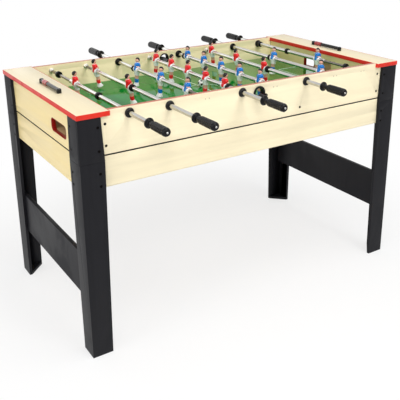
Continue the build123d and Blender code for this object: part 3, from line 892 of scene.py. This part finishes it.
def tubes():
    """Chromed tubes: open far end with a bore for the inner rod, plugged end with a small rivet head."""
    chrome = bright_metal("chrome_rod", "chrome", 0.15, 0.24, DRAWN_Y)
    for rod in RODS:
        far, whole = rod.extent("tube")
        depth = rod.travel / MM + GRIP_OVERLAP
        plug = whole - RIVET_H
        corners = (
            (TUBE_BORE, depth), (TUBE_BORE, 0.0), (TUBE_R, 0.0), (TUBE_R, plug), (RIVET_R, plug),
            (RIVET_R, whole - 0.7), (2.4, whole),
        )
        tube = Shape()
        tube.skin(turned(eased(corners, 0.7, closed=False), rod.x, rod.z, far, rod.side, 40))
        node = f"{rod.name}_tube"
        piece(f"{node}_finished", tube, [chrome], f"{rod.name}_rod", (node,))


def bumpers():
    """Rubber bumper rings with a shallow groove round the middle."""
    rubber = plastic("black_rubber", "black", 0.50, 0.65, grain=700.0, relief=0.4, wear=0.03, shine=0.22)
    for rod in RODS:
        node = f"{rod.name}_bumper"
        low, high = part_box(node)
        tall = (high.y - low.y) / MM
        radius = (high.x - low.x) / 2 / MM
        profile = ring_profile(TUBE_R + SNUG, radius, tall, 1.0, 0.14, 1.3)
        ring = Shape()
        ring.skin(turned(profile, rod.x, rod.z, low.y), loop=True)
        piece(f"{node}_finished", ring, [rubber], node, (node,))


# Radii of a handle in mm
COLLAR_R = 17.3
NECK_R = 9.4
GRIP_R = 13.6
SWELL_R = 14.8
TIP_R = 12.2
RECESS_R = 3.8

# Flutes of a handle in mm: start from the collar, stop before the end, how they fade there, least radius
FLUTE_START = 33.0
FLUTE_FADE = 4.0
FLUTE_STOP = 9.0
STOP_FADE = 6.0
FLUTED_R = 12.8

# Width of a flute as a share of its pitch, and the ring grooves across the grip in mm
FLUTE_WIDTH = 0.20
RING_START = 36.0
RING_PITCH = 9.6
RING_WIDTH = 1.2
RING_DEPTH = 1.1


def handle_outline(whole):
    """Outline of a handle as radius and distance in mm; each corner is given with its ease."""
    corners = np.array((
        (TUBE_R + SNUG, 0.0, 0.0), (15.0, 0.0, 1.6), (COLLAR_R, 1.6, 1.2), (COLLAR_R, 4.2, 1.2),
        (14.6, 6.2, 1.2), (10.4, 7.4, 1.2), (NECK_R, 10.0, 1.8), (NECK_R, 25.4, 1.6),
        (11.0, 28.0, 1.6), (GRIP_R, 32.0, 2.2), (GRIP_R + 0.5, 38.0, 4.0), (SWELL_R, whole - 16.0, 8.0),
        (SWELL_R - 0.1, whole - 8.0, 4.0), (TIP_R, whole - 2.2, 3.0), (7.0, whole, 1.6),
        (RECESS_R, whole - 0.5, 0.4), (RECESS_R, whole - 3.4, 0.2), (TUBE_R + SNUG, whole - 3.4, 0.2),
    ))
    return eased(corners[:, :2], corners[:, 2], 6)


def handle_rings(rod):
    """Handle: its outline turned about the rod, cut by flutes along the grip and by shallow ring grooves."""
    sizes = settings().sizes
    collar, whole = rod.extent("handle")
    outline = handle_outline(whole)
    run = np.concatenate(((0.0,), np.cumsum(np.linalg.norm(np.diff(outline, axis=0), axis=1))))
    place = np.unique(np.concatenate((run, np.linspace(run[0], run[-1], 190))))
    radius = np.interp(place, run, outline[:, 0])[:, None]
    out = np.interp(place, run, outline[:, 1])[:, None]
    angle = angles(sizes.flutes * 8)
    grip = np.clip((out - FLUTE_START) / FLUTE_FADE, 0, 1) * (radius > FLUTED_R)
    grip = grip * np.clip((whole - FLUTE_STOP - out) / STOP_FADE, 0, 1)
    grip = grip * grip * (3 - 2 * grip)
    flute = np.exp(-((((angle * sizes.flutes / TURN) % 1.0) - 0.5) / FLUTE_WIDTH) ** 2)
    ring = np.exp(-(((((out - RING_START) / RING_PITCH) % 1.0) - 0.5) * RING_PITCH / RING_WIDTH) ** 2)
    cut = np.maximum(sizes.flute_depth / MM * flute, RING_DEPTH * ring) * grip
    radius = (radius - cut) * MM
    along = collar + rod.side * out * MM + 0 * angle
    return np.stack((rod.x + radius * np.cos(angle), along, rod.z + radius * np.sin(angle)), -1)


def handles():
    """Fluted black handles with a collar and a neck."""
    grip = plastic("black_grip", "black", 0.08, 0.14, grain=1400.0, relief=0.10, wear=0.01, shine=0.20)
    for rod in RODS:
        form = Shape()
        form.skin(handle_rings(rod), loop=True)
        node = f"{rod.name}_handle"
        piece(f"{node}_finished", form, [grip], f"{rod.name}_rod", (node,), 50.0)


# Players

# Finish numbers of a player
SHIRT, SHORTS, SKIN, SOCKS, BOOTS, HAIR, EYES = range(7)

# Sections of a player from the rod's axis, in mm: height, half width, half depth, shift forwards, cleft
SHIRT_SECTIONS = (
    (-3.0, 11.0, 12.6, 0.0, 0.0), (-1.6, 11.8, 13.4, 0.0, 0.0), (2.0, 12.0, 13.4, 0.0, 0.0),
    (7.0, 11.9, 12.6, 0.0, 0.0), (12.5, 12.7, 10.9, 0.2, 0.0), (18.0, 14.0, 10.2, 0.3, 0.0),
    (22.4, 14.5, 9.2, 0.0, 0.0), (26.0, 12.8, 7.7, -0.3, 0.0), (28.6, 8.4, 6.2, -0.4, 0.0),
    (30.0, 5.8, 5.2, -0.4, 0.0),
)
SHORTS_SECTIONS = (
    (1.0, 10.6, 12.0, 0.0, 0.0), (-4.0, 11.2, 12.5, 0.0, 0.0), (-10.0, 11.5, 11.3, 0.1, 0.05),
    (-16.5, 11.4, 9.6, 0.3, 0.16), (-22.4, 11.3, 9.2, 0.4, 0.24), (-23.4, 10.6, 8.5, 0.4, 0.26),
    (-22.6, 9.4, 7.4, 0.4, 0.3),
)
LEG_SECTIONS = (
    (-20.0, 9.4, 7.4, 0.4, 0.26), (-27.0, 9.2, 7.2, 0.5, 0.30), (-33.0, 8.7, 6.7, 0.8, 0.30),
    (-37.0, 8.7, 6.7, 0.2, 0.32), (-42.0, 8.8, 6.8, -0.4, 0.32),
)
SOCK_SECTIONS = (
    (-37.2, 8.5, 6.5, 0.0, 0.32), (-37.6, 9.4, 7.4, 0.0, 0.30), (-40.2, 9.6, 7.7, -0.2, 0.28),
    (-41.0, 9.1, 7.2, -0.2, 0.3), (-46.0, 9.2, 7.4, -0.5, 0.30), (-52.0, 8.6, 6.6, -0.2, 0.30),
    (-58.0, 8.6, 6.8, 0.0, 0.30),
)
BOOT_SECTIONS = (
    (-52.6, 8.8, 6.9, 0.0, 0.28), (-53.2, 9.7, 7.9, 0.1, 0.26), (-57.0, 10.0, 8.8, 0.6, 0.24),
    (-61.0, 10.6, 10.8, 1.6, 0.20), (-64.4, 10.9, 12.1, 1.8, 0.16), (-66.8, 10.9, 12.2, 1.7, 0.12),
    (-67.8, 10.2, 11.4, 1.6, 0.12),
)

# Bends of an arm from the shoulder to the wrist, forwards, across and up, and its radius along it, in mm
ARM_BENDS = ((-0.5, 11.4, 24.4), (-2.4, 12.8, 20.0), (-2.6, 13.2, 15.6), (2.4, 12.4, 13.2), (8.2, 10.8, 13.4))
ARM_SHARES = (0.0, 0.3, 0.52, 0.56, 0.9, 1.0)
ARM_RADII = (4.3, 3.9, 3.5, 2.9, 2.5, 1.2)
BARE_R = 2.9

# Rings along an arm, rings that the sleeve covers, and the ring where the bare arm starts inside it
ARM_RINGS = 26
SLEEVE_RINGS = 15
BARE_START = 13

# Hand, ear, eye and eyebrow of a side: finish, middle and radii in mm, rings, points round a ring
SIDE_GLOBES = (
    (SKIN, (8.6, 10.6, 13.5), (2.5, 2.2, 2.6), 7, 12),
    (SKIN, (-0.4, 8.5, 38.0), (1.8, 1.0, 2.5), 6, 10),
    (EYES, (8.2, 3.15, 39.9), (0.6, 1.05, 0.75), 6, 10),
    (HAIR, (8.55, 3.3, 42.0), (0.5, 1.7, 0.38), 5, 10),
)

# Cuffs where the tube passes through a player, in mm
CUFF_R = 11.8
CUFF_HALF = 15.6

# Head in mm: its middle, half sizes, and how far the jaw is drawn in
HEAD_MIDDLE = (0.3, 0.0, 38.6)
HEAD_HALF = (9.5, 8.9, 10.6)
JAW_DRAW = (0.9, 2.4, 0.0)

# Bumps of the face: height in mm, then place and reach as shares of the head, across and up
NOSE = (1.5, 0.0, -0.10, 0.15, 0.17)
BROW = (0.5, 0.0, 0.30, 0.5, 0.10)
EYE_SOCKETS = (-0.6, 0.36, 0.13, 0.15, 0.10)
CHIN = (0.6, 0.0, -0.80, 0.30, 0.14)
MOUTH = (-0.35, 0.0, -0.46, 0.26, 0.045)
CHEEKS = (0.3, 0.45, -0.25, 0.2, 0.2)

# Face and hair in mm: how far each form lies inside the head's size, how far the hair stands out over the
# top and back and is pulled in elsewhere, and the height of its waves
FACE_INSET = 0.4
HAIR_INSET = 0.9
HAIR_OUT = 1.0
HAIR_IN = 1.4
HAIR_WAVE = 0.22


def body_rings(sections, count, around=32, square=2.5):
    """Stacked rounded sections: a squared ellipse, drawn in at the front and back middle by the cleft."""
    height, wide, deep, ahead, cleft = through(sections, count).T[..., None]
    angle = angles(around)
    out = np.sign(np.cos(angle)) * np.abs(np.cos(angle)) ** (2 / square)
    over = np.sign(np.sin(angle)) * np.abs(np.sin(angle)) ** (2 / square)
    drawn = 1 - cleft * np.exp(-((over / 0.2) ** 2))
    return np.stack((ahead + deep * out * drawn, wide * over, height + 0 * over), -1)


def head_rings(hair):
    """Head as a swelling of the unit globe: oval skull, tapered jaw, and a face of smooth bell-shaped bumps.
    The hair is the same form pushed out over the top and back, and pulled inside the head elsewhere."""
    way = globe((0.0, 0.0, 0.0), (1.0, 1.0, 1.0), 30, 44)
    fore, over, up = way[..., 0], way[..., 1], way[..., 2]
    face = np.clip(fore, 0, 1)
    jaw = np.clip(-up, 0, 1)[..., None] ** 1.5
    size = np.array(HEAD_HALF) - jaw * JAW_DRAW
    relief = np.zeros_like(up)
    for height, across, rise, wide, tall in (NOSE, BROW, EYE_SOCKETS, CHIN, MOUTH, CHEEKS):
        bell = np.exp(-(((np.abs(over) - across) / wide) ** 2) - ((up - rise) / tall) ** 2)
        relief += height * bell * face
    if hair:
        line = up + 0.85 * np.clip(-fore, -0.3, 1) - 0.15 + 0.05 * np.cos(7 * np.arctan2(over, fore))
        cover = 1 / (1 + np.exp(-line / 0.045))
        waves = HAIR_WAVE * np.sin(11 * np.arctan2(over, fore + 0.3) + 4 * up)
        relief = (relief - HAIR_IN) * (1 - cover) + (HAIR_OUT + waves) * cover
    inset = HAIR_INSET if hair else FACE_INSET
    return np.array(HEAD_MIDDLE) + way * (size + relief[..., None] - inset)


def add_side(man, way):
    """Adds one side of a player: sleeve, bare arm, hand, ear, eye and eyebrow; way is the side's sign."""
    arm = through(ARM_BENDS, ARM_RINGS) * (1, way, 1)
    thick = np.interp(np.linspace(0, 1, ARM_RINGS), ARM_SHARES, ARM_RADII)
    up = (0.2, 1.0, 0.1)
    man.skin(swept(arm[:SLEEVE_RINGS], thick[:SLEEVE_RINGS], up=up), SHIRT)
    man.skin(swept(arm[BARE_START:], np.minimum(thick[BARE_START:], BARE_R), up=up), SKIN)
    for finish, middle, radii, rings, around in SIDE_GLOBES:
        man.skin(globe(np.array(middle) * (1, way, 1), radii, rings, around), finish)


def collar_band():
    """Shirt collar: a thin round band round the neck that dips at the front."""
    angle = angles(40)
    dip = 3.2 * np.exp(-((1 - np.cos(angle)) / 0.14))
    path = np.stack((-0.2 + 5.8 * np.cos(angle) + 0.35 * dip, 6.2 * np.sin(angle), 29.5 - dip), -1)
    return swept(path, 0.85, 8, closed=True)


def player_form():
    """One moulded player round the rod's axis, facing +X, in mm."""
    man = Shape()
    man.skin(body_rings(SHIRT_SECTIONS, 30), SHIRT)
    man.skin(body_rings(SHORTS_SECTIONS, 20), SHORTS)
    man.skin(body_rings(LEG_SECTIONS, 14), SKIN)
    man.skin(body_rings(SOCK_SECTIONS, 18), SOCKS)
    man.skin(body_rings(BOOT_SECTIONS, 20), BOOTS)
    bore = TUBE_R + 2 * SNUG
    corners = ((bore, -CUFF_HALF), (CUFF_R, -CUFF_HALF), (CUFF_R, CUFF_HALF), (bore, CUFF_HALF))
    cuff = eased(corners, 1.2)
    man.skin(turned(cuff, 0.0, 0.0, around=36) / MM, SHORTS, True)
    for way in (-1, 1):
        add_side(man, way)
    throat = ((0.0, 0.0, 26.0), (0.0, 0.0, 30.0), (0.2, 0.0, 33.0))
    man.skin(swept(throat, 4.9, 20, (1.0, 0.0, 0.0)), SKIN)
    man.skin(collar_band(), SHORTS, True)
    man.skin(head_rings(False), SKIN)
    man.skin(head_rings(True), HAIR)
    return man


def player_finishes(team):
    """Finishes of a team's players, in the order of the finish numbers."""
    tone = f"{team}_shirt"
    return [
        plastic(f"player_{team}", tone, 0.22, 0.34, grain=900.0, relief=0.15, wear=0.01, shine=0.35),
        plastic("player_white", "white", 0.24, 0.36, grain=900.0, coat=0.2, relief=0.15, wear=0.0),
        plastic("player_skin", "skin", 0.30, 0.42, grain=900.0, coat=0.1, relief=0.15, wear=0.0),
        plastic(f"player_{team}_socks", tone, 0.30, 0.42, grain=1400.0, relief=0.3, wear=0.02, shine=0.35),
        plastic("player_boots", "white", 0.28, 0.40, grain=700.0, coat=0.2, relief=0.2, wear=0.05),
        plastic("player_hair", "hair", 0.24, 0.36, grain=500.0, relief=0.4, wear=0.0, shine=0.25),
        plastic("player_eyes", "patch", 0.18, 0.25, grain=900.0, coat=0.3, relief=0.1, wear=0.0),
    ]


def players():
    """Moulded players on their tubes, turned to face the other goal and leaned about the rod."""
    man = player_form()
    for rod in RODS:
        node = f"{rod.name}_players"
        low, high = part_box(node)
        first, last = low.y + PLAYER_HALF * MM, high.y - PLAYER_HALF * MM
        face = np.diag((-rod.side, -rod.side, 1.0))
        tilt = math.radians(rod.lean)
        rock = ((math.cos(tilt), 0, math.sin(tilt)), (0, 1, 0), (-math.sin(tilt), 0, math.cos(tilt)))
        form = Shape()
        for y in np.linspace(first, last, rod.men) if rod.men > 1 else ((first + last) / 2,):
            form.copy_of(man, np.array(rock) @ face * MM, (rod.x, y, rod.z))
        finishes = player_finishes(rod.team)
        piece(f"{node}_finished", form, finishes, f"{rod.name}_rod", (node,), 60.0)


# Scorers, serve cups, screws and ball

# Scorer posts: rounding of the top and of the upright edges in mm, depth as a share of the width
POST_TOP = 5.0
POST_EDGE = 5.5
POST_DEPTH = 0.875


def post_rings(x, y, foot, top, half):
    """Upright post: an eased square carried up from its foot, drawn in along a quarter circle at the top."""
    bend = np.linspace(0, math.pi / 2, 8)[:, None, None]
    draw = POST_TOP * MM * (1 - np.cos(bend))
    outline = eased(np.array(((-1, -1), (1, -1), (1, 1), (-1, 1))) * half, POST_EDGE * MM, 7)
    rings = np.concatenate((outline[None], outline * (1 - draw / half))) + (x, y)
    rise = np.concatenate(((foot,), top - POST_TOP * MM * (1 - np.sin(bend.ravel()))))
    return np.concatenate((rings, np.broadcast_to(rise[:, None, None], (*rings.shape[:2], 1))), -1)


def bead_profile(radius, tall):
    """Outline of a scorer bead: rounded rims and a shallow groove round the middle."""
    bore = RAIL_R + BEAD_FIT
    corners = (
        (bore, 0.0), (radius - 1.0, 0.0), (radius, 1.6), (radius, tall * 0.44), (radius - 0.7, tall * 0.5),
        (radius, tall * 0.56), (radius, tall - 1.6), (radius - 1.0, tall), (bore, tall),
    )
    return eased(corners, 0.9, 5)


def scorers():
    """Scorer rails on two posts each, with a sliding bead."""
    red = plastic("bead_red", "bead", 0.16, 0.26, grain=1000.0, coat=0.3, relief=0.12, wear=0.02)
    points = node_points("scorer_rails")
    rails = Shape()
    for side in ("left", "right"):
        node = f"{side}_scorer_bead"
        low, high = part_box(node)
        x, z = (low.x + high.x) / 2, (low.z + high.z) / 2
        own = points[points[:, 0] * x > 0]
        first, last = own.min(0), own.max(0)
        half = (last[0] - x) * np.array((1.0, POST_DEPTH))
        for y in (first[1] + half[1], last[1] - half[1]):
            rails.skin(post_rings(x, y, first[2], last[2], half))
        start, end = first[1] / MM, last[1] / MM
        bar = ((RAIL_R - 1, start + 3), (RAIL_R, start + 4), (RAIL_R, end - 4), (RAIL_R - 1, end - 3))
        rails.skin(turned(bar, x, z))
        profile = bead_profile((high.z - low.z) / 2 / MM, (high.y - low.y) / MM)
        bead = Shape()
        bead.skin(turned(profile, x, z, low.y), loop=True)
        piece(f"{node}_finished", bead, [red], f"{side}_bead", (node,))
    piece("scorer_rails_finished", rails, [gloss_black()], "table", ("scorer_rails",))


def serve_cups():
    """Serve cups in the long walls."""
    board("serve_cups", gloss_black(), 0.7, 3)


# Screw heads: rings of the dome and half width, half length and depth of the cross as shares of the head
HEAD_RINGS = (0.04, 0.1, 0.16, 0.22, 0.28, 0.36, 0.46, 0.56, 0.66, 0.76, 0.86, 0.94, 1.0)
CROSS_HALF = 0.13
CROSS_REACH = 0.5
CROSS_DEPTH = 0.55

# Least height of a screw head and depth of its skirt in metres, turn from one screw to the next in radians
LEAST_HEAD = 1.2 * MM
HEAD_SKIRT = 0.6 * MM
SCREW_TURN = 0.9

# Flange screws lie within this distance of the rods' height, in metres
FLANGE_REACH = 15 * MM


def shells(node):
    """Separate shells of a node: points at one place share a label, which spreads along the edges."""
    mesh = frame["nodes"][node].data
    points = node_points(node)
    edges = np.empty(len(mesh.edges) * 2, np.int32)
    mesh.edges.foreach_get("vertices", edges)
    same = np.unique(np.round(points, 6), axis=0, return_inverse=True)[1].ravel()
    ends = same[edges.reshape(-1, 2)]
    label = np.arange(same.max() + 1)
    while True:
        least = np.minimum(label[ends[:, 0]], label[ends[:, 1]])
        spread = label.copy()
        np.minimum.at(spread, ends[:, 0], least)
        np.minimum.at(spread, ends[:, 1], least)
        spread = spread[spread]
        if np.array_equal(spread, label):
            break
        label = spread
    own = label[same]
    return [points[own == mark] for mark in np.unique(own)]


def screw_head(radius, tall):
    """Pan head on the +Z axis: a low dome over a polar grid, sunk by a cross recess, with a skirt below."""
    share = np.array(HEAD_RINGS)[:, None]
    angle = angles(32)
    u, v = share * np.cos(angle), share * np.sin(angle)
    dome = tall * (0.35 + 0.65 * np.sqrt(np.clip(1 - share ** 2, 0, 1))) + 0 * angle

    def bar(a, b):
        beside = 1 + np.exp((np.abs(a) - CROSS_HALF) / 0.03)
        beyond = 1 + np.exp((np.abs(b) - CROSS_REACH) / 0.05)
        return 1 / beside / beyond

    dome = dome - CROSS_DEPTH * tall * np.maximum(bar(u, v), bar(v, u))
    top = np.stack((radius * u, radius * v, dome), -1)
    rim = radius * np.cos(angle), radius * np.sin(angle), np.full(len(angle), -HEAD_SKIRT)
    return np.concatenate((top, np.stack(rim, -1)[None]))


def screws():
    """Screw heads where the solids have them, each turned a little differently."""
    heads, pale = Shape(), Shape()
    for count, shell in enumerate(shells("screws")):
        low, high = shell.min(0), shell.max(0)
        axis = int(np.argmax(high - low))
        middle = (low + high) / 2
        away = shell - middle
        away[:, axis] = 0
        span = np.linalg.norm(away, axis=1)
        rim = shell[span > span.max() * 0.9, axis]
        way = 1.0 if rim.mean() > middle[axis] else -1.0
        tall = max(rim.max() - rim.min(), LEAST_HEAD)
        normal = np.zeros(3)
        normal[axis] = way
        side = np.roll(normal, 1)
        spin = SCREW_TURN * count
        along = math.cos(spin) * side + math.sin(spin) * np.cross(normal, side)
        turn = np.stack((along, np.cross(normal, along), normal), 1)
        seat = middle.copy()
        seat[axis] = rim.min() if way > 0 else rim.max()
        flange = axis == 1 and abs(middle[2] - RODS[0].z) < FLANGE_REACH
        form, share = (pale, 0.4) if flange else (heads, 0.7)
        form.skin(screw_head(span.max(), share * tall) @ turn.T + seat)
    metal = bright_metal("dark_screws", "screw", 0.40, 0.55)
    light = plastic("pale_screws", "pale_screw", 0.40, 0.55)
    piece("flange_screws_finished", pale, [light], "table", (), 60.0)
    piece("screws_finished", heads, [metal], "table", ("screws",), 60.0)


# Ball: reach of a patch from its middle, width and depth of a seam as shares of the radius, and two
# directions square to each other that set how the patches lie
PATCH_REACH = 0.29
SEAM_WIDTH = 0.03
SEAM_DEPTH = 0.012
BALL_FRONT = (-0.48, -0.76, 0.44)
BALL_ACROSS = (0.76, -0.48, 0.0)


def patch_marks(look):
    """Distance inside the five sides of the nearest patch, for directions from the ball's middle.
    The twelve patches lie round the corners of an icosahedron."""
    gold = (1 + math.sqrt(5)) / 2
    base = np.array([(0, a, b * gold) for a in (-1, 1) for b in (-1, 1)], float)
    corners = np.concatenate((base, np.roll(base, 1, 1), np.roll(base, 2, 1))) / math.hypot(1, gold)
    near = np.argsort(-(corners @ corners.T), axis=1)[:, 1:6]
    home = np.argmax(look @ corners.T, axis=-1)
    side = corners[near] - corners[:, None]
    side /= np.linalg.norm(side, axis=-1, keepdims=True)
    return PATCH_REACH - np.einsum("...k,...sk->...s", look - corners[home], side[home]).max(-1)


def ball():
    """Ball with twelve five-sided dark patches, their sides sunk a little."""
    low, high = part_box("ball")
    radius = (high.z - low.z) / 2
    way = globe((0, 0, 0), (1, 1, 1), 62, 96)
    front = np.array(BALL_FRONT)
    across = np.array(BALL_ACROSS) / np.linalg.norm(BALL_ACROSS)
    mark = patch_marks(way @ np.stack((front, across, np.cross(front, across)), 1))
    seam = np.exp(-((mark / SEAM_WIDTH) ** 2))
    form = Shape()
    form.skin(np.array((low + high) / 2) + way * (radius * (1 - SEAM_DEPTH * seam))[..., None])
    made = piece("ball_finished", form, [ball_skin("white_ball")], "ball", ("ball",), 80.0)
    values = np.concatenate((mark.ravel(), mark[0, :1], mark[-1, :1]))
    made.data.attributes.new("patch", "FLOAT", "POINT").data.foreach_set("value", values.astype(np.float32))


# Stage

WHITE = (1.0, 1.0, 1.0, 1.0)

# Lamps: name, place, point it is aimed at, width and height, in metres
LAMPS = (
    ("key", (0.45, -3.5, 3.1), (0.0, 0.0, 0.7), (1.6, 1.3)),
    ("top", (0.25, -0.9, 3.1), (0.0, 0.0, 0.75), (2.0, 1.4)),
    ("fill", (-2.1, -2.5, 2.9), (0.0, 0.0, 0.75), (1.2, 1.2)),
    ("left", (-3.0, -0.6, 1.5), (0.0, 0.0, 0.5), (1.6, 1.6)),
    ("back", (-1.0, 3.4, 1.6), (0.0, 0.0, 0.6), (3.0, 2.0)),
)

# Floor in metres: radius, distance under the feet, thickness, and where its tone starts and ends to fade
FLOOR_R = 9.0
FLOOR_DROP = MM
FLOOR_THICK = 20 * MM
FADE_START = 0.7
FADE_END = 1.7

# Camera: place in metres, heading and downward tilt in degrees, shift of the picture
CAMERA_PLACE = (-1.400, -2.200, 1.460)
CAMERA_AZIMUTH = -123.73
CAMERA_RISE = 18.67
CAMERA_SHIFT = (-0.05, -0.165)


def lamp(name, place, aim, size):
    """Soft rectangular lamp that the camera doesn't see."""
    light = bpy.data.lights.new(name, "AREA")
    light.shape = "RECTANGLE"
    light.size, light.size_y = size
    light.energy = getattr(settings().stage, f"{name}_power")
    made = bpy.data.objects.new(name, light)
    made.location = place
    made.rotation_euler = (Vector(aim) - Vector(place)).to_track_quat("-Z", "Y").to_euler()
    made.visible_camera = False
    bpy.context.scene.collection.objects.link(made)


def seen_directly(tree):
    """One for rays from the camera, off gloss or through glass, else zero."""
    path = tree.nodes.new("ShaderNodeLightPath").outputs
    first = reckon(tree, "MAXIMUM", path["Is Camera Ray"], path["Is Glossy Ray"])
    return reckon(tree, "MAXIMUM", first, path["Is Transmission Ray"])


def sky():
    """White behind everything that is looked at, and an even soft light on the object."""
    world = bpy.data.worlds.new("studio")
    bpy.context.scene.world = world
    world.use_nodes = True
    tree = world.node_tree
    tree.nodes.clear()
    light = add(tree, "ShaderNodeBackground", {"Color": WHITE, "Strength": settings().stage.sky})
    white = add(tree, "ShaderNodeBackground", {"Color": WHITE, "Strength": 1.0})
    share = seen_directly(tree)
    both = add(tree, "ShaderNodeMixShader", {0: share, 1: light.outputs[0], 2: white.outputs[0]})
    add(tree, "ShaderNodeOutputWorld", {"Surface": both.outputs[0]})


def floor_finish():
    """Dull pale floor near the object that fades into plain white further out."""
    material = bpy.data.materials.new("studio_floor")
    material.use_nodes = True
    tree = material.node_tree
    tree.nodes.clear()
    place = tree.nodes.new("ShaderNodeTexCoord").outputs["Object"]
    away = add(tree, "ShaderNodeVectorMath", {0: place}, operation="LENGTH").outputs["Value"]
    tone = np.array(settings().stage.floor) ** 2.2
    dull = add(tree, "ShaderNodeBsdfDiffuse", {"Color": (*tone, 1.0)})
    white = add(tree, "ShaderNodeEmission", {"Color": WHITE, "Strength": 1.0})
    share = times(tree, ramp(tree, away, FADE_START, FADE_END, 0.7, 1.0), seen_directly(tree))
    both = add(tree, "ShaderNodeMixShader", {0: share, 1: dull.outputs[0], 2: white.outputs[0]})
    add(tree, "ShaderNodeOutputMaterial", {"Surface": both.outputs[0]})
    return material


def floor():
    """Round pale floor that keeps the shadow near the object."""
    rings = np.linspace(0.02, 1.0, 24)[:, None] ** 1.5 * FLOOR_R
    angle = angles(64)
    disc = np.stack((rings * np.cos(angle), rings * np.sin(angle), 0 * rings * angle - FLOOR_DROP), -1)
    form = Shape()
    form.skin(np.concatenate((disc, disc[-1:] - (0, 0, FLOOR_THICK))))
    mesh = form.mesh("studio_floor")
    mesh.materials.append(floor_finish())
    made = bpy.data.objects.new("studio_floor", mesh)
    bpy.context.scene.collection.objects.link(made)


def camera():
    """Camera at the front left corner, a little above the table, looking down at it."""
    data = bpy.data.cameras.new("camera")
    data.sensor_width = 36.0
    data.lens = settings().stage.lens
    data.shift_x, data.shift_y = CAMERA_SHIFT
    data.clip_end = 60.0
    made = bpy.data.objects.new("camera", data)
    made.location = CAMERA_PLACE
    made.rotation_euler = (math.radians(90 - CAMERA_RISE), 0.0, math.radians(CAMERA_AZIMUTH + 90))
    bpy.context.scene.collection.objects.link(made)
    bpy.context.scene.camera = made


def stage():
    """Floor, lamps, sky and camera."""
    for row in LAMPS:
        lamp(*row)
    sky()
    floor()
    camera()
    bpy.context.scene.view_settings.view_transform = "Standard"


# Add-on


def done(make):
    """Runs one maker for an operator."""
    make()
    return {"FINISHED"}


class TABLE_OT_cabinet(bpy.types.Operator):
    """Make the walls, aprons, end panels, top boards, edging and liners"""

    bl_idname = "table_football.cabinet"
    bl_label = "Cabinet boards"

    def execute(self, context):
        return done(cabinet_boards)


class TABLE_OT_legs(bpy.types.Operator):
    """Make the angle legs, corner covers and cross panels"""

    bl_idname = "table_football.legs"
    bl_label = "Legs"

    def execute(self, context):
        return done(leg_boards)


class TABLE_OT_hidden(bpy.types.Operator):
    """Make the battens and ball trays"""

    bl_idname = "table_football.hidden"
    bl_label = "Battens and trays"

    def execute(self, context):
        return done(hidden_boards)


class TABLE_OT_pitch(bpy.types.Operator):
    """Make the playing board and its lines"""

    bl_idname = "table_football.pitch"
    bl_label = "Pitch"

    def execute(self, context):
        return done(pitch)


class TABLE_OT_bushings(bpy.types.Operator):
    """Make the bushings, far flanges and inner rods"""

    bl_idname = "table_football.bushings"
    bl_label = "Bushings and inner rods"

    def execute(self, context):
        return done(bushings)


class TABLE_OT_tubes(bpy.types.Operator):
    """Make the sliding tubes"""

    bl_idname = "table_football.tubes"
    bl_label = "Tubes"

    def execute(self, context):
        return done(tubes)


class TABLE_OT_bumpers(bpy.types.Operator):
    """Make the rubber bumpers"""

    bl_idname = "table_football.bumpers"
    bl_label = "Bumpers"

    def execute(self, context):
        return done(bumpers)


class TABLE_OT_handles(bpy.types.Operator):
    """Make the fluted handles"""

    bl_idname = "table_football.handles"
    bl_label = "Handles"

    def execute(self, context):
        return done(handles)


class TABLE_OT_players(bpy.types.Operator):
    """Make the moulded players"""

    bl_idname = "table_football.players"
    bl_label = "Players"

    def execute(self, context):
        return done(players)


class TABLE_OT_scorers(bpy.types.Operator):
    """Make the scorer rails and beads"""

    bl_idname = "table_football.scorers"
    bl_label = "Scorers"

    def execute(self, context):
        return done(scorers)


class TABLE_OT_cups(bpy.types.Operator):
    """Make the serve cups"""

    bl_idname = "table_football.cups"
    bl_label = "Serve cups"

    def execute(self, context):
        return done(serve_cups)


class TABLE_OT_screws(bpy.types.Operator):
    """Make the screw heads"""

    bl_idname = "table_football.screws"
    bl_label = "Screws"

    def execute(self, context):
        return done(screws)


class TABLE_OT_ball(bpy.types.Operator):
    """Make the ball"""

    bl_idname = "table_football.ball"
    bl_label = "Ball"

    def execute(self, context):
        return done(ball)


class TABLE_OT_stage(bpy.types.Operator):
    """Make the floor, lamps, sky and camera"""

    bl_idname = "table_football.stage"
    bl_label = "Stage"

    def execute(self, context):
        return done(stage)


OPERATORS = (
    TABLE_OT_cabinet,
    TABLE_OT_legs,
    TABLE_OT_hidden,
    TABLE_OT_pitch,
    TABLE_OT_bushings,
    TABLE_OT_tubes,
    TABLE_OT_bumpers,
    TABLE_OT_handles,
    TABLE_OT_players,
    TABLE_OT_scorers,
    TABLE_OT_cups,
    TABLE_OT_screws,
    TABLE_OT_ball,
    TABLE_OT_stage,
)


class TABLE_PT_pieces(bpy.types.Panel):
    """Lists the table's pieces in the sidebar"""

    bl_label = "Table football"
    bl_idname = "TABLE_PT_pieces"
    bl_space_type = "VIEW_3D"
    bl_region_type = "UI"
    bl_category = "Table football"

    def draw(self, context):
        for operator in OPERATORS:
            self.layout.operator(operator.bl_idname)


CLASSES = (FinishColours, PieceSizes, StageSettings, TableSettings, *OPERATORS, TABLE_PT_pieces)


def register():
    """Registers the classes and the scene's settings."""
    for item in CLASSES:
        bpy.utils.register_class(item)
    bpy.types.Scene.table_football = PointerProperty(type=TableSettings)


def unregister():
    """Removes them again."""
    del bpy.types.Scene.table_football
    for item in reversed(CLASSES):
        bpy.utils.unregister_class(item)


def main():
    """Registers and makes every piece."""
    register()
    for operator in OPERATORS:
        getattr(bpy.ops.table_football, operator.bl_idname.split(".")[1])()


if __name__ == "__main__":
    main()
